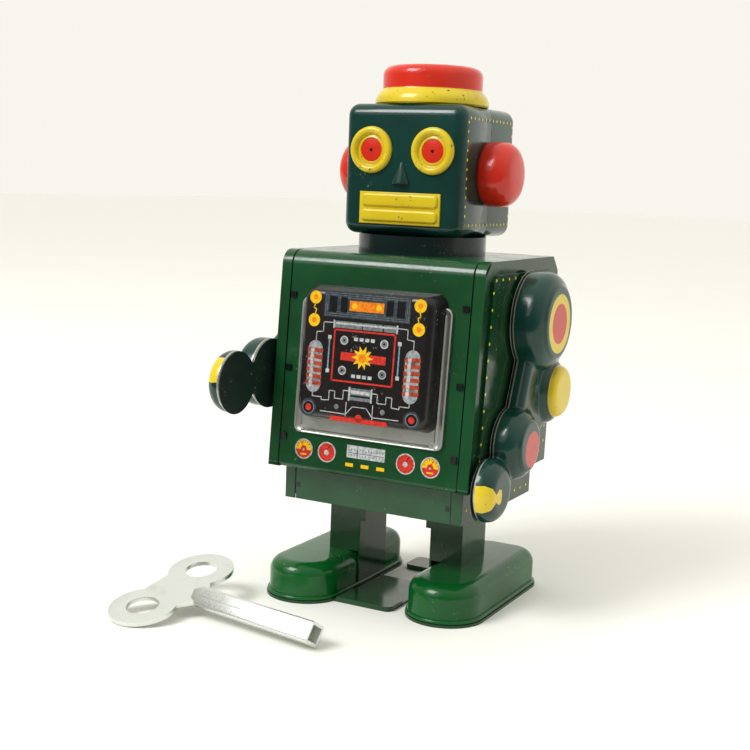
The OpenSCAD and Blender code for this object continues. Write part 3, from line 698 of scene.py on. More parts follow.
class Print:
    """One spot colour, drawn flat in millimetres at one height."""

    def __init__(self, height):
        self.height = height
        self.piece = None

    def start(self, adder, **where):
        self.fresh = self.piece is None
        if self.fresh:
            let_go()
            adder(**where)
            self.piece = bpy.context.object
            settle(self.piece)
            take(self.piece)
            bpy.ops.object.mode_set(mode="EDIT")
        else:
            bpy.ops.mesh.select_all(action="DESELECT")
            adder(**where)

    def dot(self, x, y, radius, sides=28):
        self.start(
            bpy.ops.mesh.primitive_circle_add, vertices=sides, radius=radius * MM, fill_type="NGON",
            location=Vector((x, y, self.height)) * MM,
        )

    def dots(self, x, y, radius, sides=28):
        for side in (-1, 1):
            self.dot(x * side, y, radius, sides)

    def bars(self, x, y, width, height):
        for side in (-1, 1):
            self.bar(x * side, y, width, height)

    def bar(self, x, y, width, height, turned=0):
        at = Vector((x, y, self.height)) * MM
        self.start(bpy.ops.mesh.primitive_plane_add, size=MM, location=at)
        if self.fresh:
            choose_all()
        resize((width, height, 1), at)
        if turned:
            # with no window the operator turns clockwise
            bpy.ops.transform.rotate(value=-math.radians(turned), orient_axis="Z", center_override=at)

    def line(self, points, width=0.24):
        for (ax, ay), (bx, by) in zip(points, points[1:]):
            long = math.hypot(bx - ax, by - ay) + width
            self.bar((ax + bx) / 2, (ay + by) / 2, long, width, math.degrees(math.atan2(by - ay, bx - ax)))

    def box(self, x0, y0, x1, y1, width=0.24):
        self.line([(x0, y0), (x1, y0), (x1, y1), (x0, y1), (x0, y0)], width)

    def done(self, name, finish, slot="black_enamel", place=on_front):
        let_go()
        finish_with(self.piece, "SOLIDIFY", thickness=INK * MM, offset=1.0)
        put(self.piece, place)
        return hand_over(self.piece, name, "casing", slot, finish)


print("ink shapes ready")

# %% [markdown]
# ## Instrument panel, dark and grey colours
# The lowest layers hold the slate display, the grey tube and cylinder, and their dark gaps.
# What is the same left and right is drawn as a pair of dots or bars, or by a loop over both sides.

# %% Panel: slate and grey
FACE = CHEST_PROUD + 0.02
slate = Print(FACE)
slate.bar(0, 33.5, 27, 7.2)
slate.dots(16.3, 3.9, 2.5, 32)
slate.done("panel_slate", ink_slate)

grey = Print(FACE + 0.02)
for inset in (0.45, 1.0, 1.55):
    grey.box(-13.5 + inset, 29.9 + inset, 13.5 - inset, 37.1 - inset, 0.12)
grey.bar(0, 28.0, 19.4, 1.9)
grey.bar(0, 9.0, 6.6, 3.4)
grey.dots(7.3, 5.0, 0.75)
grey.dots(16.3, 3.9, 1.9, 32)
grey.done("panel_grey", ink_grey)

dark = Print(FACE + 0.04)
dark.bars(10.7, 33.5, 2.5, 4.4)
dark.bars(7.2, 33.5, 2.1, 4.2)
dark.dots(16.3, 3.9, 1.65, 32)
dark.bar(-0.8, 28.0, 0.3, 1.9)
dark.bar(5.6, 28.0, 0.4, 1.9)
dark.bar(0, 8.5, 6.2, 0.5)
dark.done("panel_dark", ink_black)

# %% [markdown]
# ## Instrument panel, wires and coils
# White lines are the wiring: from the tube's ends down to the two coils, and from the coils through a zigzag to
# the cylinder. Each coil is a capsule with bright ends and turns of copper and white wire.

# %% Panel: wires and coils
COIL_X, COIL_TOP, COIL_STEP = 15.3, 20.2, 1.85
wires = Print(FACE + 0.05)
for side in (-1, 1):
    def both(points):
        return [(x * side, y) for x, y in points]

    wires.line(both([(9.9, 28.4), (13.2, 28.3), (13.2, 25.6), (15.3, 25.4), (15.3, 23.0)]))
    wires.line(both([(15.3, 8.2), (15.3, 7.2), (12.3, 7.2), (12.3, 6.4), (9.9, 6.6), (9.9, 9.3), (8.1, 9.3)]))
    wires.line(both([(8.1, 9.3), (8.1, 7.3), (5.4, 7.3), (5.4, 9.8), (3.3, 9.8)]))
    wires.line(both([(12.3, 3.3), (4.2, 3.2), (2.2, 5.5), (0, 5.5)]))
    wires.line(both([(4.2, 2.7), (4.2, 6.5)]))
wires.bars(9.9, 28.0, 0.5, 2.3)
wires.bars(3.5, 9.0, 0.5, 3.9)
wires.bars(11.0, 24.2, 1.1, 1.1)
wires.bars(11.0, 14.8, 1.1, 1.1)
for row, first in ((24.3, -2.6), (14.0, -2.7)):
    for i in range(4):
        wires.bar(first + 1.75 * i, row, 1.25, 0.95)
wires.bar(0, 28.3, 19.0, 0.5)
wires.bar(0, 9.6, 6.0, 0.9)
wires.done("panel_wires", ink_white)

capsules = Print(FACE + 0.05)
capsules.dots(COIL_X, 20.7, 2.25)
capsules.dots(COIL_X, 10.5, 2.25)
capsules.bars(COIL_X, 15.6, 4.5, 10.4)
capsules.done("panel_capsules", ink_silver)

rods = Print(FACE + 0.05)
for side in (-1, 1):
    rods.line([(11.0 * side, 23.6), (11.0 * side, 15.4)], 0.42)
rods.done("panel_rods", ink_blue)

turns = Print(FACE + 0.07)
for side in (-1, 1):
    for i in range(6):
        turns.bar(COIL_X * side, COIL_TOP - COIL_STEP * i, 5.0, 1.15, 3 * side)
turns.done("panel_coil_turns", ink_copper)

glints = Print(FACE + 0.09)
for side in (-1, 1):
    for i in range(6):
        glints.bar(COIL_X * side - 0.9, COIL_TOP - COIL_STEP * i, 1.1, 1.0, 3 * side)
        glints.dot(COIL_X * side - 0.9, COIL_TOP - 0.9 - COIL_STEP * i, 0.45, 10)
glints.done("panel_coil_glints", ink_white)

# %% [markdown]
# ## Instrument panel, warm colours
# Red, orange and yellow go on last: the square with its dials, the bar behind the starburst, lamps and labels.
# The starburst is a circle of 20 corners whose every second corner is drawn in.

# %% Panel: red, orange and yellow
LAMP_ROWS, DIAL_ROWS = (35.0, 28.6), (23.7, 15.3)
reds = Print(FACE + 0.06)
reds.box(-9.5, 12.3, 9.5, 26.5, 0.5)
reds.bar(0, 19.2, 14.2, 2.3, -1)
reds.bar(0, 1.75, 18, 1.3)
reds.dot(0, 2.4, 1.15)
reds.dots(16.3, 3.9, 0.95)
reds.done("panel_red", ink_red)

orange = Print(FACE + 0.06)
orange.bar(0, 33.4, 10.8, 2.8)
orange.done("panel_orange", ink_orange)

lamps = Print(FACE + 0.08)
for y in LAMP_ROWS:
    lamps.dots(16.4, y, 1.85, 32)
for side in (-1, 1):
    lamps.line([(16.4 * side, 33.3), (16.7 * side, 32.1), (15.9 * side, 31.6), (16.3 * side, 30.3)], 0.32)
lamps.dots(3.8, 33.4, 0.85)
lamps.dot(-0.2, 19.3, 3.4, 20)
ray = bmesh.from_edit_mesh(lamps.piece.data)
inner = [v for v in ray.verts if v.select]
for i, corner in enumerate(inner):
    corner.select_set(i % 2 == 0)
ray.select_flush_mode()
bmesh.update_edit_mesh(lamps.piece.data)
resize((0.55, 0.55, 1), Vector((-0.2, 19.3, FACE + 0.08)) * MM)
lamps.done("panel_yellow", ink_yellow)

cores = Print(FACE + 0.10)
for y in LAMP_ROWS:
    cores.dots(16.4, y, 0.75)
cores.dot(-0.2, 19.2, 1.2)
cores.done("panel_lamp_cores", ink_orange)

dials = Print(FACE + 0.08)
for y in DIAL_ROWS:
    dials.dots(6.3, y, 1.25)
dials.line([(-2.6, 20.6), (2.4, 18.0)], 0.16)
dials.line([(-2.2, 17.8), (1.6, 21.2)], 0.16)
dials.done("panel_dials", ink_white)

for name, finish, lift, radius, sides in (
    ("panel_dial_faces", ink_grey, 0.10, 0.95, 28), ("panel_dial_pins", ink_black, 0.12, 0.35, 12),
):
    layer = Print(FACE + lift)
    for y in DIAL_ROWS:
        layer.dots(6.3, y, radius, sides)
    layer.done(name, finish)

# %% [markdown]
# ## Gauges under the chest
# Four round gauges, a tuning scale and three small lamps are printed straight on the green sheet.
# The outer pair is half yellow and half red with ticks; the inner pair is red with a needle.

# %% Gauges
LOW, OUTER, INNER, GAUGE_Y = 0.03, 20.3, 12.65, -9.1
rims = Print(LOW)
rims.bar(0, -7.85, 12.2, 3.6)
for x in (-OUTER, -INNER, INNER, OUTER):
    rims.dot(x, GAUGE_Y, 2.95, 36)
rims.done("gauge_rims", ink_white, "green_enamel")

gauge_red = Print(LOW + 0.02)
for x in (-OUTER, -INNER, INNER, OUTER):
    gauge_red.dot(x, GAUGE_Y, 2.6, 36)
gauge_red.done("gauge_red", ink_red, "green_enamel")

halves = Print(LOW + 0.04)
for x in (-OUTER, OUTER):
    halves.dot(x, GAUGE_Y, 2.5, 36)
    bpy.ops.mesh.bisect(plane_co=Vector((x, -9.3, 0)) * MM, plane_no=(0, 1, 0), clear_inner=True, use_fill=False)
    halves.bar(x, -10.6, 2.0, 0.45)
for x in (-5, 0, 5):
    halves.bar(x, -11.7, 2.5, 1.0)
halves.done("gauge_yellow", ink_yellow, "green_enamel")

marks = Print(LOW + 0.06)


def ticks(x, angles, near, far):
    """Short strokes round a gauge, between two radii."""
    for a in angles:
        dx, dy = math.cos(math.radians(a)), math.sin(math.radians(a))
        marks.line([(x + near * dx, GAUGE_Y + near * dy), (x + far * dx, GAUGE_Y + far * dy)], 0.12)


for x in (-OUTER, OUTER):
    ticks(x, range(20, 170, 20), 1.9, 2.4)
for x in (-INNER, INNER):
    ticks(x, range(0, 360, 30), 2.1, 2.4)
    marks.line([(x, GAUGE_Y), (x + 0.8, -7.2)], 0.2)
for i in range(13):
    marks.line([(-5.4 + 0.9 * i, -7.5), (-5.4 + 0.9 * i, -6.9 - 0.3 * (i % 3 == 0))], 0.1)
    marks.line([(-5.4 + 0.9 * i, -9.0), (-5.4 + 0.9 * i, -8.6)], 0.1)
marks.line([(-2.6, -9.5), (-2.6, -6.2)], 0.14)
marks.line([(-5.8, -8.2), (5.8, -8.2)], 0.1)
marks.done("gauge_marks", ink_black, "green_enamel")

needles = Print(LOW + 0.08)
for x, lean in ((-OUTER, -0.7), (OUTER, 0.8)):
    needles.dot(x, GAUGE_Y, 1.0, 24)
    needles.line([(x, GAUGE_Y), (x + lean, -7.1)], 0.2)
needles.done("gauge_needles", ink_red, "green_enamel")

bosses = Print(LOW + 0.10)
for x in (-INNER, INNER):
    bosses.dot(x, -9.2, 0.75, 20)
for x in (-OUTER, OUTER):
    bosses.dot(x, -9.3, 0.3, 12)
bosses.done("gauge_bosses", ink_white, "green_enamel")

# %% [markdown]
# ## Head
# The head is two deep-drawn shells that meet just behind the ears, each with generous rounded edges.
# A block is rounded all over and cut at the seam. The cut rim of the front shell is extruded and drawn in a
# little, so that it tucks into the rear one and leaves the fine dark line of a real seam.

# %% Head shells
HEAD_LOW, HEAD_HIGH = Vector((-18.8, -13.8, 107.2)), Vector((18.8, 24.4, 144.2))
SEAM = 5.6


def head_shell(name, keep_front):
    shell = block(name, HEAD_LOW, HEAD_HIGH)
    open_up(shell)
    choose_all()
    bpy.context.tool_settings.mesh_select_mode = (False, True, False)
    bevel(3.4, 8)
    choose_all()
    cut = SEAM - 0.06 if keep_front else SEAM + 0.06
    bpy.ops.mesh.bisect(
        plane_co=(0, cut * MM, 0), plane_no=(0, 1, 0),
        clear_outer=keep_front, clear_inner=not keep_front, use_fill=False,
    )
    choose("edges", lambda e: e.is_boundary)
    extrude((0, (0.9 if keep_front else -0.05) * MM, 0))
    resize((0.975, 1, 0.975), Vector((0, cut, 125.7)) * MM)
    let_go()
    finish_with(shell, "SOLIDIFY", thickness=0.4 * MM, offset=-1.0)
    smooth(shell, 40)
    return shell


hand_over(head_shell("head_a", True), "face_shell", "casing", "teal_enamel", teal, replaces=["head_front"])
hand_over(head_shell("head_b", False), "head_back_shell", "casing", "teal_enamel", teal, replaces=["head_rear"])

# %% [markdown]
# ## Eyes
# Each eye is pressed into the face: a round yellow bead, a step down inside it, and a red disc with a black pupil.
# The outline of bead, step and disc is spun as one mesh, and its rings of faces take one of three colours.

# %% Eyes
FACE_Y = -13.8
EYE_X, EYE_Z = 9.7, 131.1
EYE_OUTLINE = (
    [(6.6, -0.2)] + arc(5.55, 0.2, 1.05, 0, 180, 10)
    + [(4.4, 0.1), (4.1, 0.05), (3.8, 0.3), (3.5, 0.35), (3.35, 0.1), (2.8, 0.16)]
    + [(1.8, 0.28), (0.5, 0.34), (0.4, 0.55), (0, 0.6)]
)
eye = spun("eye", EYE_OUTLINE, (EYE_X, FACE_Y, EYE_Z), (0, -1, 0), 72)
for finish in (yellow, red, ink_black):
    eye.data.materials.append(finish)
for face in eye.data.polygons:
    reach = (face.center - Vector((EYE_X * MM, face.center.y, EYE_Z * MM))).length / MM
    face.material_index = 2 if reach < 0.5 else 1 if reach < 3.35 else 0
smooth(eye, 50)
other_eye = copy_of(eye)
other_eye.location.x = -2 * EYE_X * MM
settle(other_eye)
hand_over(eye, "eye_left", "casing", "teal_enamel")
hand_over(other_eye, "eye_right", "casing", "teal_enamel")

# %% [markdown]
# ## Nose and mouth
# The nose is a small pinch in the sheet: a cone flattened against the face, its foot rounded.
# The mouth is a yellow plate with two pressed ribs, each a block rounded at its ends and then along its rim.

# %% Nose
let_go()
bpy.ops.mesh.primitive_cone_add(
    vertices=32, radius1=3.0 * MM, radius2=0.4 * MM, depth=6.0 * MM, location=Vector((0, FACE_Y + 0.1, 124.7)) * MM
)
nose = bpy.context.object
settle(nose)
open_up(nose)
choose_all()
resize((1, 0.68, 1), Vector((0, FACE_Y + 0.1, 124.7)) * MM)
round_edges(0.35, 3, lambda e: middle(e).z < 121.9)
let_go()
smooth(nose, 50)
hand_over(nose, "nose", "casing", "teal_enamel", teal)

# %% Mouth
parts = [block("plate", (-12.8, FACE_Y - 0.5, 110.2), (12.8, FACE_Y + 0.3, 119.3))]
open_up(parts[0])
round_edges(0.25, 3, lambda e: middle(e).y < FACE_Y - 0.45)
for low, high in ((111.0, 114.4), (115.2, 118.9)):
    rib = block("rib", (-12.0, FACE_Y - 1.25, low), (12.2, FACE_Y - 0.3, high))
    open_up(rib)
    round_edges(1.3, 6, lambda e: along(e, 1))
    round_edges(0.7, 5, lambda e: middle(e).y < FACE_Y - 1.2)
    parts.append(rib)
let_go()
mouth = join("mouth", *parts)
smooth(mouth, 50)
hand_over(mouth, "mouth", "casing", "teal_enamel", yellow)

# %% [markdown]
# ## Ears and cap
# Both are round pressings, so both are spun. An ear is a drum whose outer edge is rounded; the cap has a flared
# yellow brim under a red crown, and the faces of the brim take the second colour.

# %% Ears
EAR_AT, EAR_R, EAR_OUT = Vector((18.8, 5.6, 125.4)), 9.3, 9.1
ear_outline = [(EAR_R - 0.4, -0.1), (EAR_R, 0.3), (EAR_R, 1.0)] + arc(EAR_R - 4.6, EAR_OUT - 4.9, 4.6, 0, 82, 8)
ear_outline += [(4.2, EAR_OUT - 0.22), (2.0, EAR_OUT - 0.08), (0, EAR_OUT - 0.05)]
for side, label in ((1, "left"), (-1, "right")):
    ear = spun("ear", ear_outline, (EAR_AT.x * side, EAR_AT.y, EAR_AT.z), (side, 0, 0), 72)
    smooth(ear, 50)
    hand_over(ear, "ear_drum_" + label, "casing", "red_enamel", red, replaces=["ear_" + label])

# %% Cap
CAP_Y, CROWN_R, BRIM_R, CAP_FOOT, CAP_TOP = 4.6, 14.6, 16.7, 144.3, 155.7
brim = [(BRIM_R - 0.5, CAP_FOOT), (BRIM_R, CAP_FOOT + 0.5), (BRIM_R - 0.05, CAP_FOOT + 1.6)]
brim += [(BRIM_R - 0.5, CAP_FOOT + 2.8), (BRIM_R - 1.3, CAP_FOOT + 3.8)]
brim += [(CROWN_R + 0.25, CAP_FOOT + 4.3), (CROWN_R, CAP_FOOT + 4.7)]
crown = [(CROWN_R, CAP_FOOT + 5.2)] + arc(CROWN_R - 2.8, CAP_TOP - 2.9, 2.8, 0, 84, 8)
crown += [(9.0, CAP_TOP - 0.04), (0, CAP_TOP)]
cap = spun("cap", brim + crown, (0, CAP_Y, 0), (0, 0, 1), 96)
cap.data.materials.append(red)
cap.data.materials.append(yellow)
for face in cap.data.polygons:
    face.material_index = 1 if face.center.z < (CAP_FOOT + 4.6) * MM else 0
smooth(cap, 40)
hand_over(cap, "cap_pressing", "casing", "red_enamel", replaces=["cap"])

# %% [markdown]
# ## Arms
# An arm is one pressing of four round swellings joined by necks, closed at the back by a flat plate.
# Rounded drums and four blocks are set in each other, and a voxel remesh makes them one skin, as a press
# makes them one sheet. Smoothing then softens the valleys between them, where sheet metal can't take a sharp fold.
# The paint is part of the material: discs of yellow and red registered on the swellings.
# The flat back plate is a copy of the pressing, flattened until it is as thin as its sheet.

# %% Arm shape
PIN = Vector((33.55, 5.0, 84.5))
SWELLINGS = [(0, 0, 14, 9.1), (8, -21.2, 9.9, 7.3), (-13.6, -33.9, 10.1, 7.7), (-27, -45, 8.9, 5.8)]
PLATEAUS = [(0, 0, 10.6, 9.65), (-13.6, -33.9, 7.4, 8.2)]
NECKS = [(0, 1, 20), (1, 2, 14.5), (2, 3, 8), (0, 2, 8.6)]


def drum(y, z, radius, deep, edge):
    """A round drum along X from the back plate, its outer edge rounded."""
    let_go()
    bpy.ops.mesh.primitive_cylinder_add(
        vertices=64, radius=radius * MM, depth=(deep - 0.5) * MM,
        location=Vector(((deep + 0.5) / 2, y, z)) * MM, rotation=(0, math.pi / 2, 0),
    )
    piece = bpy.context.object
    settle(piece)
    open_up(piece)
    round_edges(edge, 8, lambda e: middle(e).x > deep - 0.05)
    let_go()
    return piece


def arm_skin(name):
    """The whole arm at the origin, hanging, as one smooth skin."""
    parts = [drum(y, z, r, deep, 4.0) for y, z, r, deep in SWELLINGS]
    parts += [drum(y, z, r, deep, 0.5) for y, z, r, deep in PLATEAUS]
    parts.append(drum(8, -21.2, 7.6, 9.3, 1.95))
    for a, b, wide in NECKS:
        (ay, az, _, _), (by, bz, _, _) = SWELLINGS[a], SWELLINGS[b]
        long = math.hypot(by - ay, bz - az)
        neck = block("neck", (0.5, -long / 2, -wide / 2), (5.0, long / 2, wide / 2))
        open_up(neck)
        round_edges(1.8, 4, lambda e: middle(e).x > 4.9 and along(e, 1))
        let_go()
        lean = math.atan2(bz - az, by - ay)
        put(neck, Matrix.Translation((0, (ay + by) / 2, (az + bz) / 2)) @ Matrix.Rotation(lean, 4, "X"))
        parts.append(neck)
    skin = join(name, *parts)
    finish_with(skin, "REMESH", mode="VOXEL", voxel_size=0.38 * MM)
    finish_with(skin, "SMOOTH", factor=0.5, iterations=7)
    smooth(skin, 60)
    return skin


hanging = arm_skin("arm")
print("arm skin", len(hanging.data.polygons), "faces")

# %% Arm paint
def arm_finish(name, side, raised):
    """Teal enamel with the arm's printed discs, and a bare tin rim at the back edge."""
    finish = teal.copy()
    finish.name = name
    tree = finish.node_tree
    shader = tree.nodes["Principled BSDF"]
    place = next(n for n in tree.nodes if n.type == "TEX_COORD").outputs["Object"]
    colour = shader.inputs["Base Color"].links[0].from_socket
    turn_back = Matrix.Rotation(math.radians(raised), 4, "X")

    def times(first, second):
        return sums(tree, "MULTIPLY", first, second)

    def plus(first, second):
        return sums(tree, "ADD", first, second)

    def minus(first, second):
        return sums(tree, "SUBTRACT", first, second)

    def spot(y, z):
        return PIN + turn_back @ Vector((0, y, z))

    split = node(tree, "SeparateXYZ", {}, {"Vector": place})
    out = times(split.outputs["X"], side / MM)
    fleck = noise(tree, place, 0.5, 2, 0.6)
    for y, z, radius, code, flecks in (
        (0, -0.5, 8.5, "#e0c52a", 1), (0, -0.5, 5.8, "#c92f22", 0),
        (8, -21.2, 7.7, "#e0c52a", 1), (-12.3, -35.2, 5.2, "#c8443a", 0),
    ):
        at = spot(y, z)
        dy = minus(split.outputs["Y"], at.y * MM)
        dz = minus(split.outputs["Z"], at.z * MM)
        reach = sums(tree, "SQRT", plus(times(dy, dy), times(dz, dz)), 0)
        disc = between(tree, reach, (radius - 0.05) * MM, (radius + 0.05) * MM, 1, 0)
        outside = between(tree, out, PIN.x + 5.6, PIN.x + 5.7)
        share = times(disc, outside)
        if flecks:
            share = times(share, between(tree, fleck, 0.70, 0.72, 1, 0.25))
        colour = mixed(tree, share, colour, code)
    # the hand's paint wraps from the front wall on to the face: a body that narrows, then a flared tail
    at = spot(-27, -45)
    facing = turn_back @ Vector((0, -1, 0))
    upward = turn_back @ Vector((0, 0, 1))
    dy = minus(split.outputs["Y"], at.y * MM)
    dz = minus(split.outputs["Z"], at.z * MM)
    front = plus(times(dy, facing.y / MM), times(dz, facing.z / MM))
    high = plus(times(dy, upward.y / MM), times(dz, upward.z / MM))
    run = minus(plus(minus(out, PIN.x), 8.9), front)
    ramp = node(tree, "ValToRGB", {}, {"Fac": between(tree, run, 0, 15.5)})
    steps = [(0.0, 0.0), (0.07, 0.0), (0.09, 0.85), (0.3, 0.9), (0.52, 0.7)]
    steps += [(0.66, 0.25), (0.8, 0.5), (0.9, 0.42), (0.92, 0.0)]
    while len(ramp.color_ramp.elements) < len(steps):
        ramp.color_ramp.elements.new(0.5)
    for element, (position, level) in zip(ramp.color_ramp.elements, steps):
        element.position = position
        element.color = (level, level, level, 1)
    half = times(ramp.outputs["Color"], 4.4)
    inside = between(tree, minus(half, sums(tree, "ABSOLUTE", plus(high, 0.9), 0)), 0, 0.12)
    near = between(tree, plus(times(front, front), times(high, high)), 80, 95, 1, 0)
    hand = times(times(inside, near), between(tree, fleck, 0.70, 0.72, 1, 0.25))
    colour = mixed(tree, hand, colour, "#e0c52a")
    rim = between(tree, out, PIN.x + 1.15, PIN.x + 1.25, 1, 0)
    colour = mixed(tree, rim, colour, "#b4b4a9")
    tree.links.new(colour, shader.inputs["Base Color"])
    tree.links.new(times(rim, 0.4), shader.inputs["Metallic"])
    return finish


def arm_back_finish(name):
    """Dull lacquer on the flat back plate, and bare tin on its sheared edge."""
    finish = enamel(name, "#1d302b", "#162622", wear=0.5, gloss=0.35)
    tree = finish.node_tree
    shader = tree.nodes["Principled BSDF"]
    colour = shader.inputs["Base Color"].links[0].from_socket
    normal = tree.nodes.new("ShaderNodeNewGeometry").outputs["True Normal"]
    split = node(tree, "SeparateXYZ", {}, {"Vector": normal})
    edge = between(tree, sums(tree, "ABSOLUTE", split.outputs["X"], 0), 0.4, 0.6, 1, 0)
    tree.links.new(mixed(tree, edge, colour, "#b4b4a9"), shader.inputs["Base Color"])
    tree.links.new(sums(tree, "MULTIPLY", edge, 0.4), shader.inputs["Metallic"])
    return finish


LEFT_RAISE, RIGHT_RAISE = 0, -37
for side, raised, label in ((1, LEFT_RAISE, "left"), (-1, RIGHT_RAISE, "right")):
    arm = copy_of(hanging)
    place = Matrix.Translation((PIN.x * side, PIN.y, PIN.z)) @ Matrix.Rotation(math.radians(raised), 4, "X")
    if side < 0:
        place = place @ Matrix.Scale(-1, 4, (1, 0, 0))
    put(arm, place)
    if side < 0:
        open_up(arm)
        choose_all()
        bpy.ops.mesh.normals_make_consistent(inside=False)
        let_go()
    limb = "arm_" + label
    finish = arm_finish("teal_enamel_" + label + "_arm", side, raised)
    hand_over(arm, "arm_pressing_" + label, limb, "teal_enamel", finish, replaces=[limb + "_shell"])
    plate = copy_of(arm)
    open_up(plate)
    choose_all()
    # flattened to 0.47 mm against the plane of the pin, and a little larger all round
    resize((0.051, 1.008, 1.008), Vector((PIN.x * side, PIN.y, PIN.z)) * MM)
    let_go()
    finish = arm_back_finish("lacquered_tin_" + label + "_arm")
    hand_over(plate, "arm_plate_" + label, limb, "bare_tinplate", finish, replaces=[limb + "_back"])
bpy.data.objects.remove(hanging)

# %% [markdown]
# ## Feet
# A foot is a deep pressing, round at the toe and with rounded corners at the heel, over a hemmed sole.
# Three discs are wrapped in their convex hull, which is exactly the outline of such a foot. The upper rim is
# rounded, and the lower rim is drawn out into the small rolled hem that grips the sole.

# %% Feet
def wrapped(name, discs, low, high):
    """The convex hull of upright discs (x, y, radius), with flat ends and clean sides."""
    parts = []
    for x, y, r in discs:
        let_go()
        bpy.ops.mesh.primitive_cylinder_add(
            vertices=72, radius=r * MM, depth=(high - low) * MM, location=Vector((x, y, (low + high) / 2)) * MM
        )
        parts.append(bpy.context.object)
        settle(parts[-1])
    piece = join(name, *parts)
    open_up(piece)
    choose_all()
    bpy.ops.mesh.convex_hull()
    choose_all()
    bpy.ops.mesh.dissolve_limited(angle_limit=math.radians(1))
    let_go()
    return piece


for label in ("left", "right"):
    low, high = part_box("foot_" + label)
    mid = (low.x + high.x) / 2 / MM
    front, rear, top = low.y / MM + 0.5, high.y / MM - 0.5, high.z / MM
    half = (high.x - low.x) / 2 / MM - 0.5
    discs = [(mid, front + half, half), (mid - half + 7, rear - 7, 7), (mid + half - 7, rear - 7, 7)]
    shell = wrapped("foot", discs, 1.0, top)
    open_up(shell)
    round_edges(4.0, 10, lambda e: middle(e).z > top - 0.05)
    let_go()
    hem = wrapped("hem", [(x, y, r + 0.75) for x, y, r in discs], 0.72, 1.9)
    open_up(hem)
    round_edges(0.55, 4, lambda e: not along(e, 2))
    let_go()
    foot = join("foot", shell, hem)
    smooth(foot, 40)
    hand_over(
        foot, "foot_pressing_" + label, "leg_" + label, "foot_enamel", foot_green, replaces=["foot_" + label]
    )

# %% [markdown]
# ## Dotted borders
# A row of yellow dots is printed round each side of the head and of the torso.
# One small dot is added again and again along a path, a fixed step apart.

# %% Dotted borders
def dotted(path, step):
    """Points a fixed step apart along an open path."""
    points, carried = [], 0.0
    for (ay, az), (by, bz) in zip(path, path[1:]):
        long = math.hypot(by - ay, bz - az)
        while carried <= long:
            share = carried / long
            points.append((ay + (by - ay) * share, az + (bz - az) * share))
            carried += step
        carried -= long
    return points


def border(name, path, out, step, dot, slot):
    """Dots on both sides of the robot, a hair outside the sheet at the distance out."""
    for side, label in ((1, "left"), (-1, "right")):
        sheet = Print(0.0)
        for y, z in dotted(path, step):
            sheet.dot(y * side, z, dot, 8)
        across = Matrix(((0, 0, side, out * side), (side, 0, 0, 0), (0, 1, 0, 0), (0, 0, 0, 1)))
        sheet.done(name + "_" + label, border_yellow, slot, across)


head_path = [(-10.4, 110.8), (-10.4, 140.6), (21.0, 140.6), (21.0, 110.8), (-10.4, 110.8)]
border("head_border", head_path, 18.82, 2.6, 0.42, "teal_enamel")


def front_y(z):
    return FRONT_LOW + (z - 38.9) * FRONT_SLOPE


def rear_y(z):
    return 29.2 + (z - 38.9) * 2.3 / 58.5


INSIDE, ROW_LOW, ROW_HIGH = 4.6, 43, 96.8
torso_path = [(front_y(z) + INSIDE, z) for z in (ROW_LOW, ROW_HIGH)]
torso_path += [(rear_y(z) - INSIDE, z) for z in (ROW_HIGH, ROW_LOW)]
border("torso_border", torso_path, 32.83, 4.6, 0.45, "green_enamel")
hip_path = [(-21.6, 37.2), (-21.6, 31.4), (23.4, 31.4), (23.4, 37.2)]
border("hip_border", hip_path, 28.63, 4.6, 0.45, "green_enamel")

# %% [markdown]
# ## Winding key
# The bow is stamped from sheet and its edges are tumbled round; its tail is gripped by a square tube that was
# folded up from sheet, so the tube has soft corners and a seam along one face.
# The bow is two discs and a waist joined with Boolean modifiers, then its two finger holes are cut.

# %% Key bow
key_place = (
    Matrix.Translation((-34, -57.4, 5.08))
    @ Matrix.Rotation(math.radians(-7.5), 4, "Z")
    @ Matrix.Rotation(math.radians(1.3), 4, "Y")
    @ Matrix.Rotation(math.radians(12.2), 4, "X")
)
LOOP_X, LOOP_Y, LOOP_R, HOLE_R = -12.2, 11.9, 9.6, 4.65


def combine(piece, tool, how):
    """Joins or cuts one closed shape with another, and throws the tool away."""
    finish_with(piece, "BOOLEAN", object=tool, operation=how, solver="EXACT")
    bpy.data.objects.remove(tool)


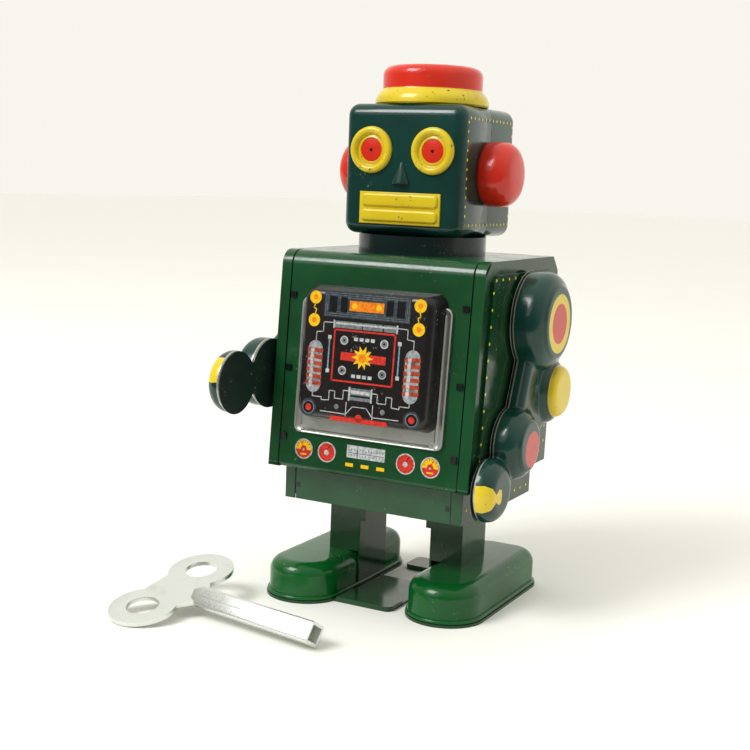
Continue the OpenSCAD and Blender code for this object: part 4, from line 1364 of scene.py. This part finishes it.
WAIST = ((-14.2, 4.5, 4.5), (-5.5, 5.5, 2.0), (-1.5, 1.6, 1.4))
waist = [(x, y * side, r) for x, y, r in WAIST for side in (-1, 1)]
bow = wrapped("bow", waist, -0.6, 0.6)
for side in (-1, 1):
    combine(bow, wrapped("loop", [(LOOP_X, LOOP_Y * side, LOOP_R)], -0.6, 0.6), "UNION")
for side in (-1, 1):
    combine(bow, wrapped("hole", [(LOOP_X, LOOP_Y * side, HOLE_R)], -2, 2), "DIFFERENCE")
finish_with(bow, "BEVEL", width=0.32 * MM, segments=3, limit_method="ANGLE", angle_limit=math.radians(50))
put(bow, key_place)
smooth(bow, 40)
hand_over(bow, "key_bow_stamping", "key", "plated_steel", plated, replaces=["key_bow"])

# %% Key tube
TUBE_SIDE, TUBE_LONG, SOCKET = 6.0, 39.4, 4.3
tube = block("tube", (0, -TUBE_SIDE / 2, -TUBE_SIDE / 2), (TUBE_LONG, TUBE_SIDE / 2, TUBE_SIDE / 2))
open_up(tube)
round_edges(0.9, 5, lambda e: along(e, 0))
choose("faces", lambda f: f.normal.x > 0.99)
bpy.ops.mesh.inset(thickness=(TUBE_SIDE - SOCKET) / 2 * MM, depth=0)
extrude((-30 * MM, 0, 0))
choose("faces", lambda f: f.normal.x < -0.99 and middle(f).x < 0.1)
extrude((-3.2 * MM, 0, 0))
resize((1, 0.62, 0.62), Vector((-3.2, 0, 0)) * MM)
round_edges(0.16, 2, lambda e: middle(e).x > TUBE_LONG - 0.05)
let_go()
seam = block("seam", (-1, -0.09, TUBE_SIDE / 2 - 0.14), (TUBE_LONG + 1, 0.09, TUBE_SIDE / 2 + 0.5))
combine(tube, seam, "DIFFERENCE")
put(tube, key_place @ Matrix.Rotation(math.radians(45), 4, "X"))
smooth(tube, 35)
hand_over(tube, "key_tube_folding", "key", "plated_steel", plated, replaces=["key_tube"])

# %% [markdown]
# ## Table
# The toy stands near the front edge of a plain pale table that runs back out of sight, so that only soft shadows
# say where it stands. In front of the edge there is nothing to reflect, which is what keeps the enamel deep.
# It is a stage, not part of the toy.

# %% Table
TABLE_FRONT, TABLE_BACK, TABLE_SIDE = -0.2, 6.0, 4.0
let_go()
bpy.ops.mesh.primitive_plane_add(size=1, location=(0, (TABLE_FRONT + TABLE_BACK) / 2, -0.00002))
table = bpy.context.object
table.name = "table"
table.scale = (2 * TABLE_SIDE, TABLE_BACK - TABLE_FRONT, 1)
settle(table)
pale, tree, shader, place = new_finish("pale_matt_card", 0.75)
tree.links.new(mixed(tree, noise(tree, place, 60, 2), "#f8f8f3", "#f5f4ee"), shader.inputs["Base Color"])
table.data.materials.append(pale)
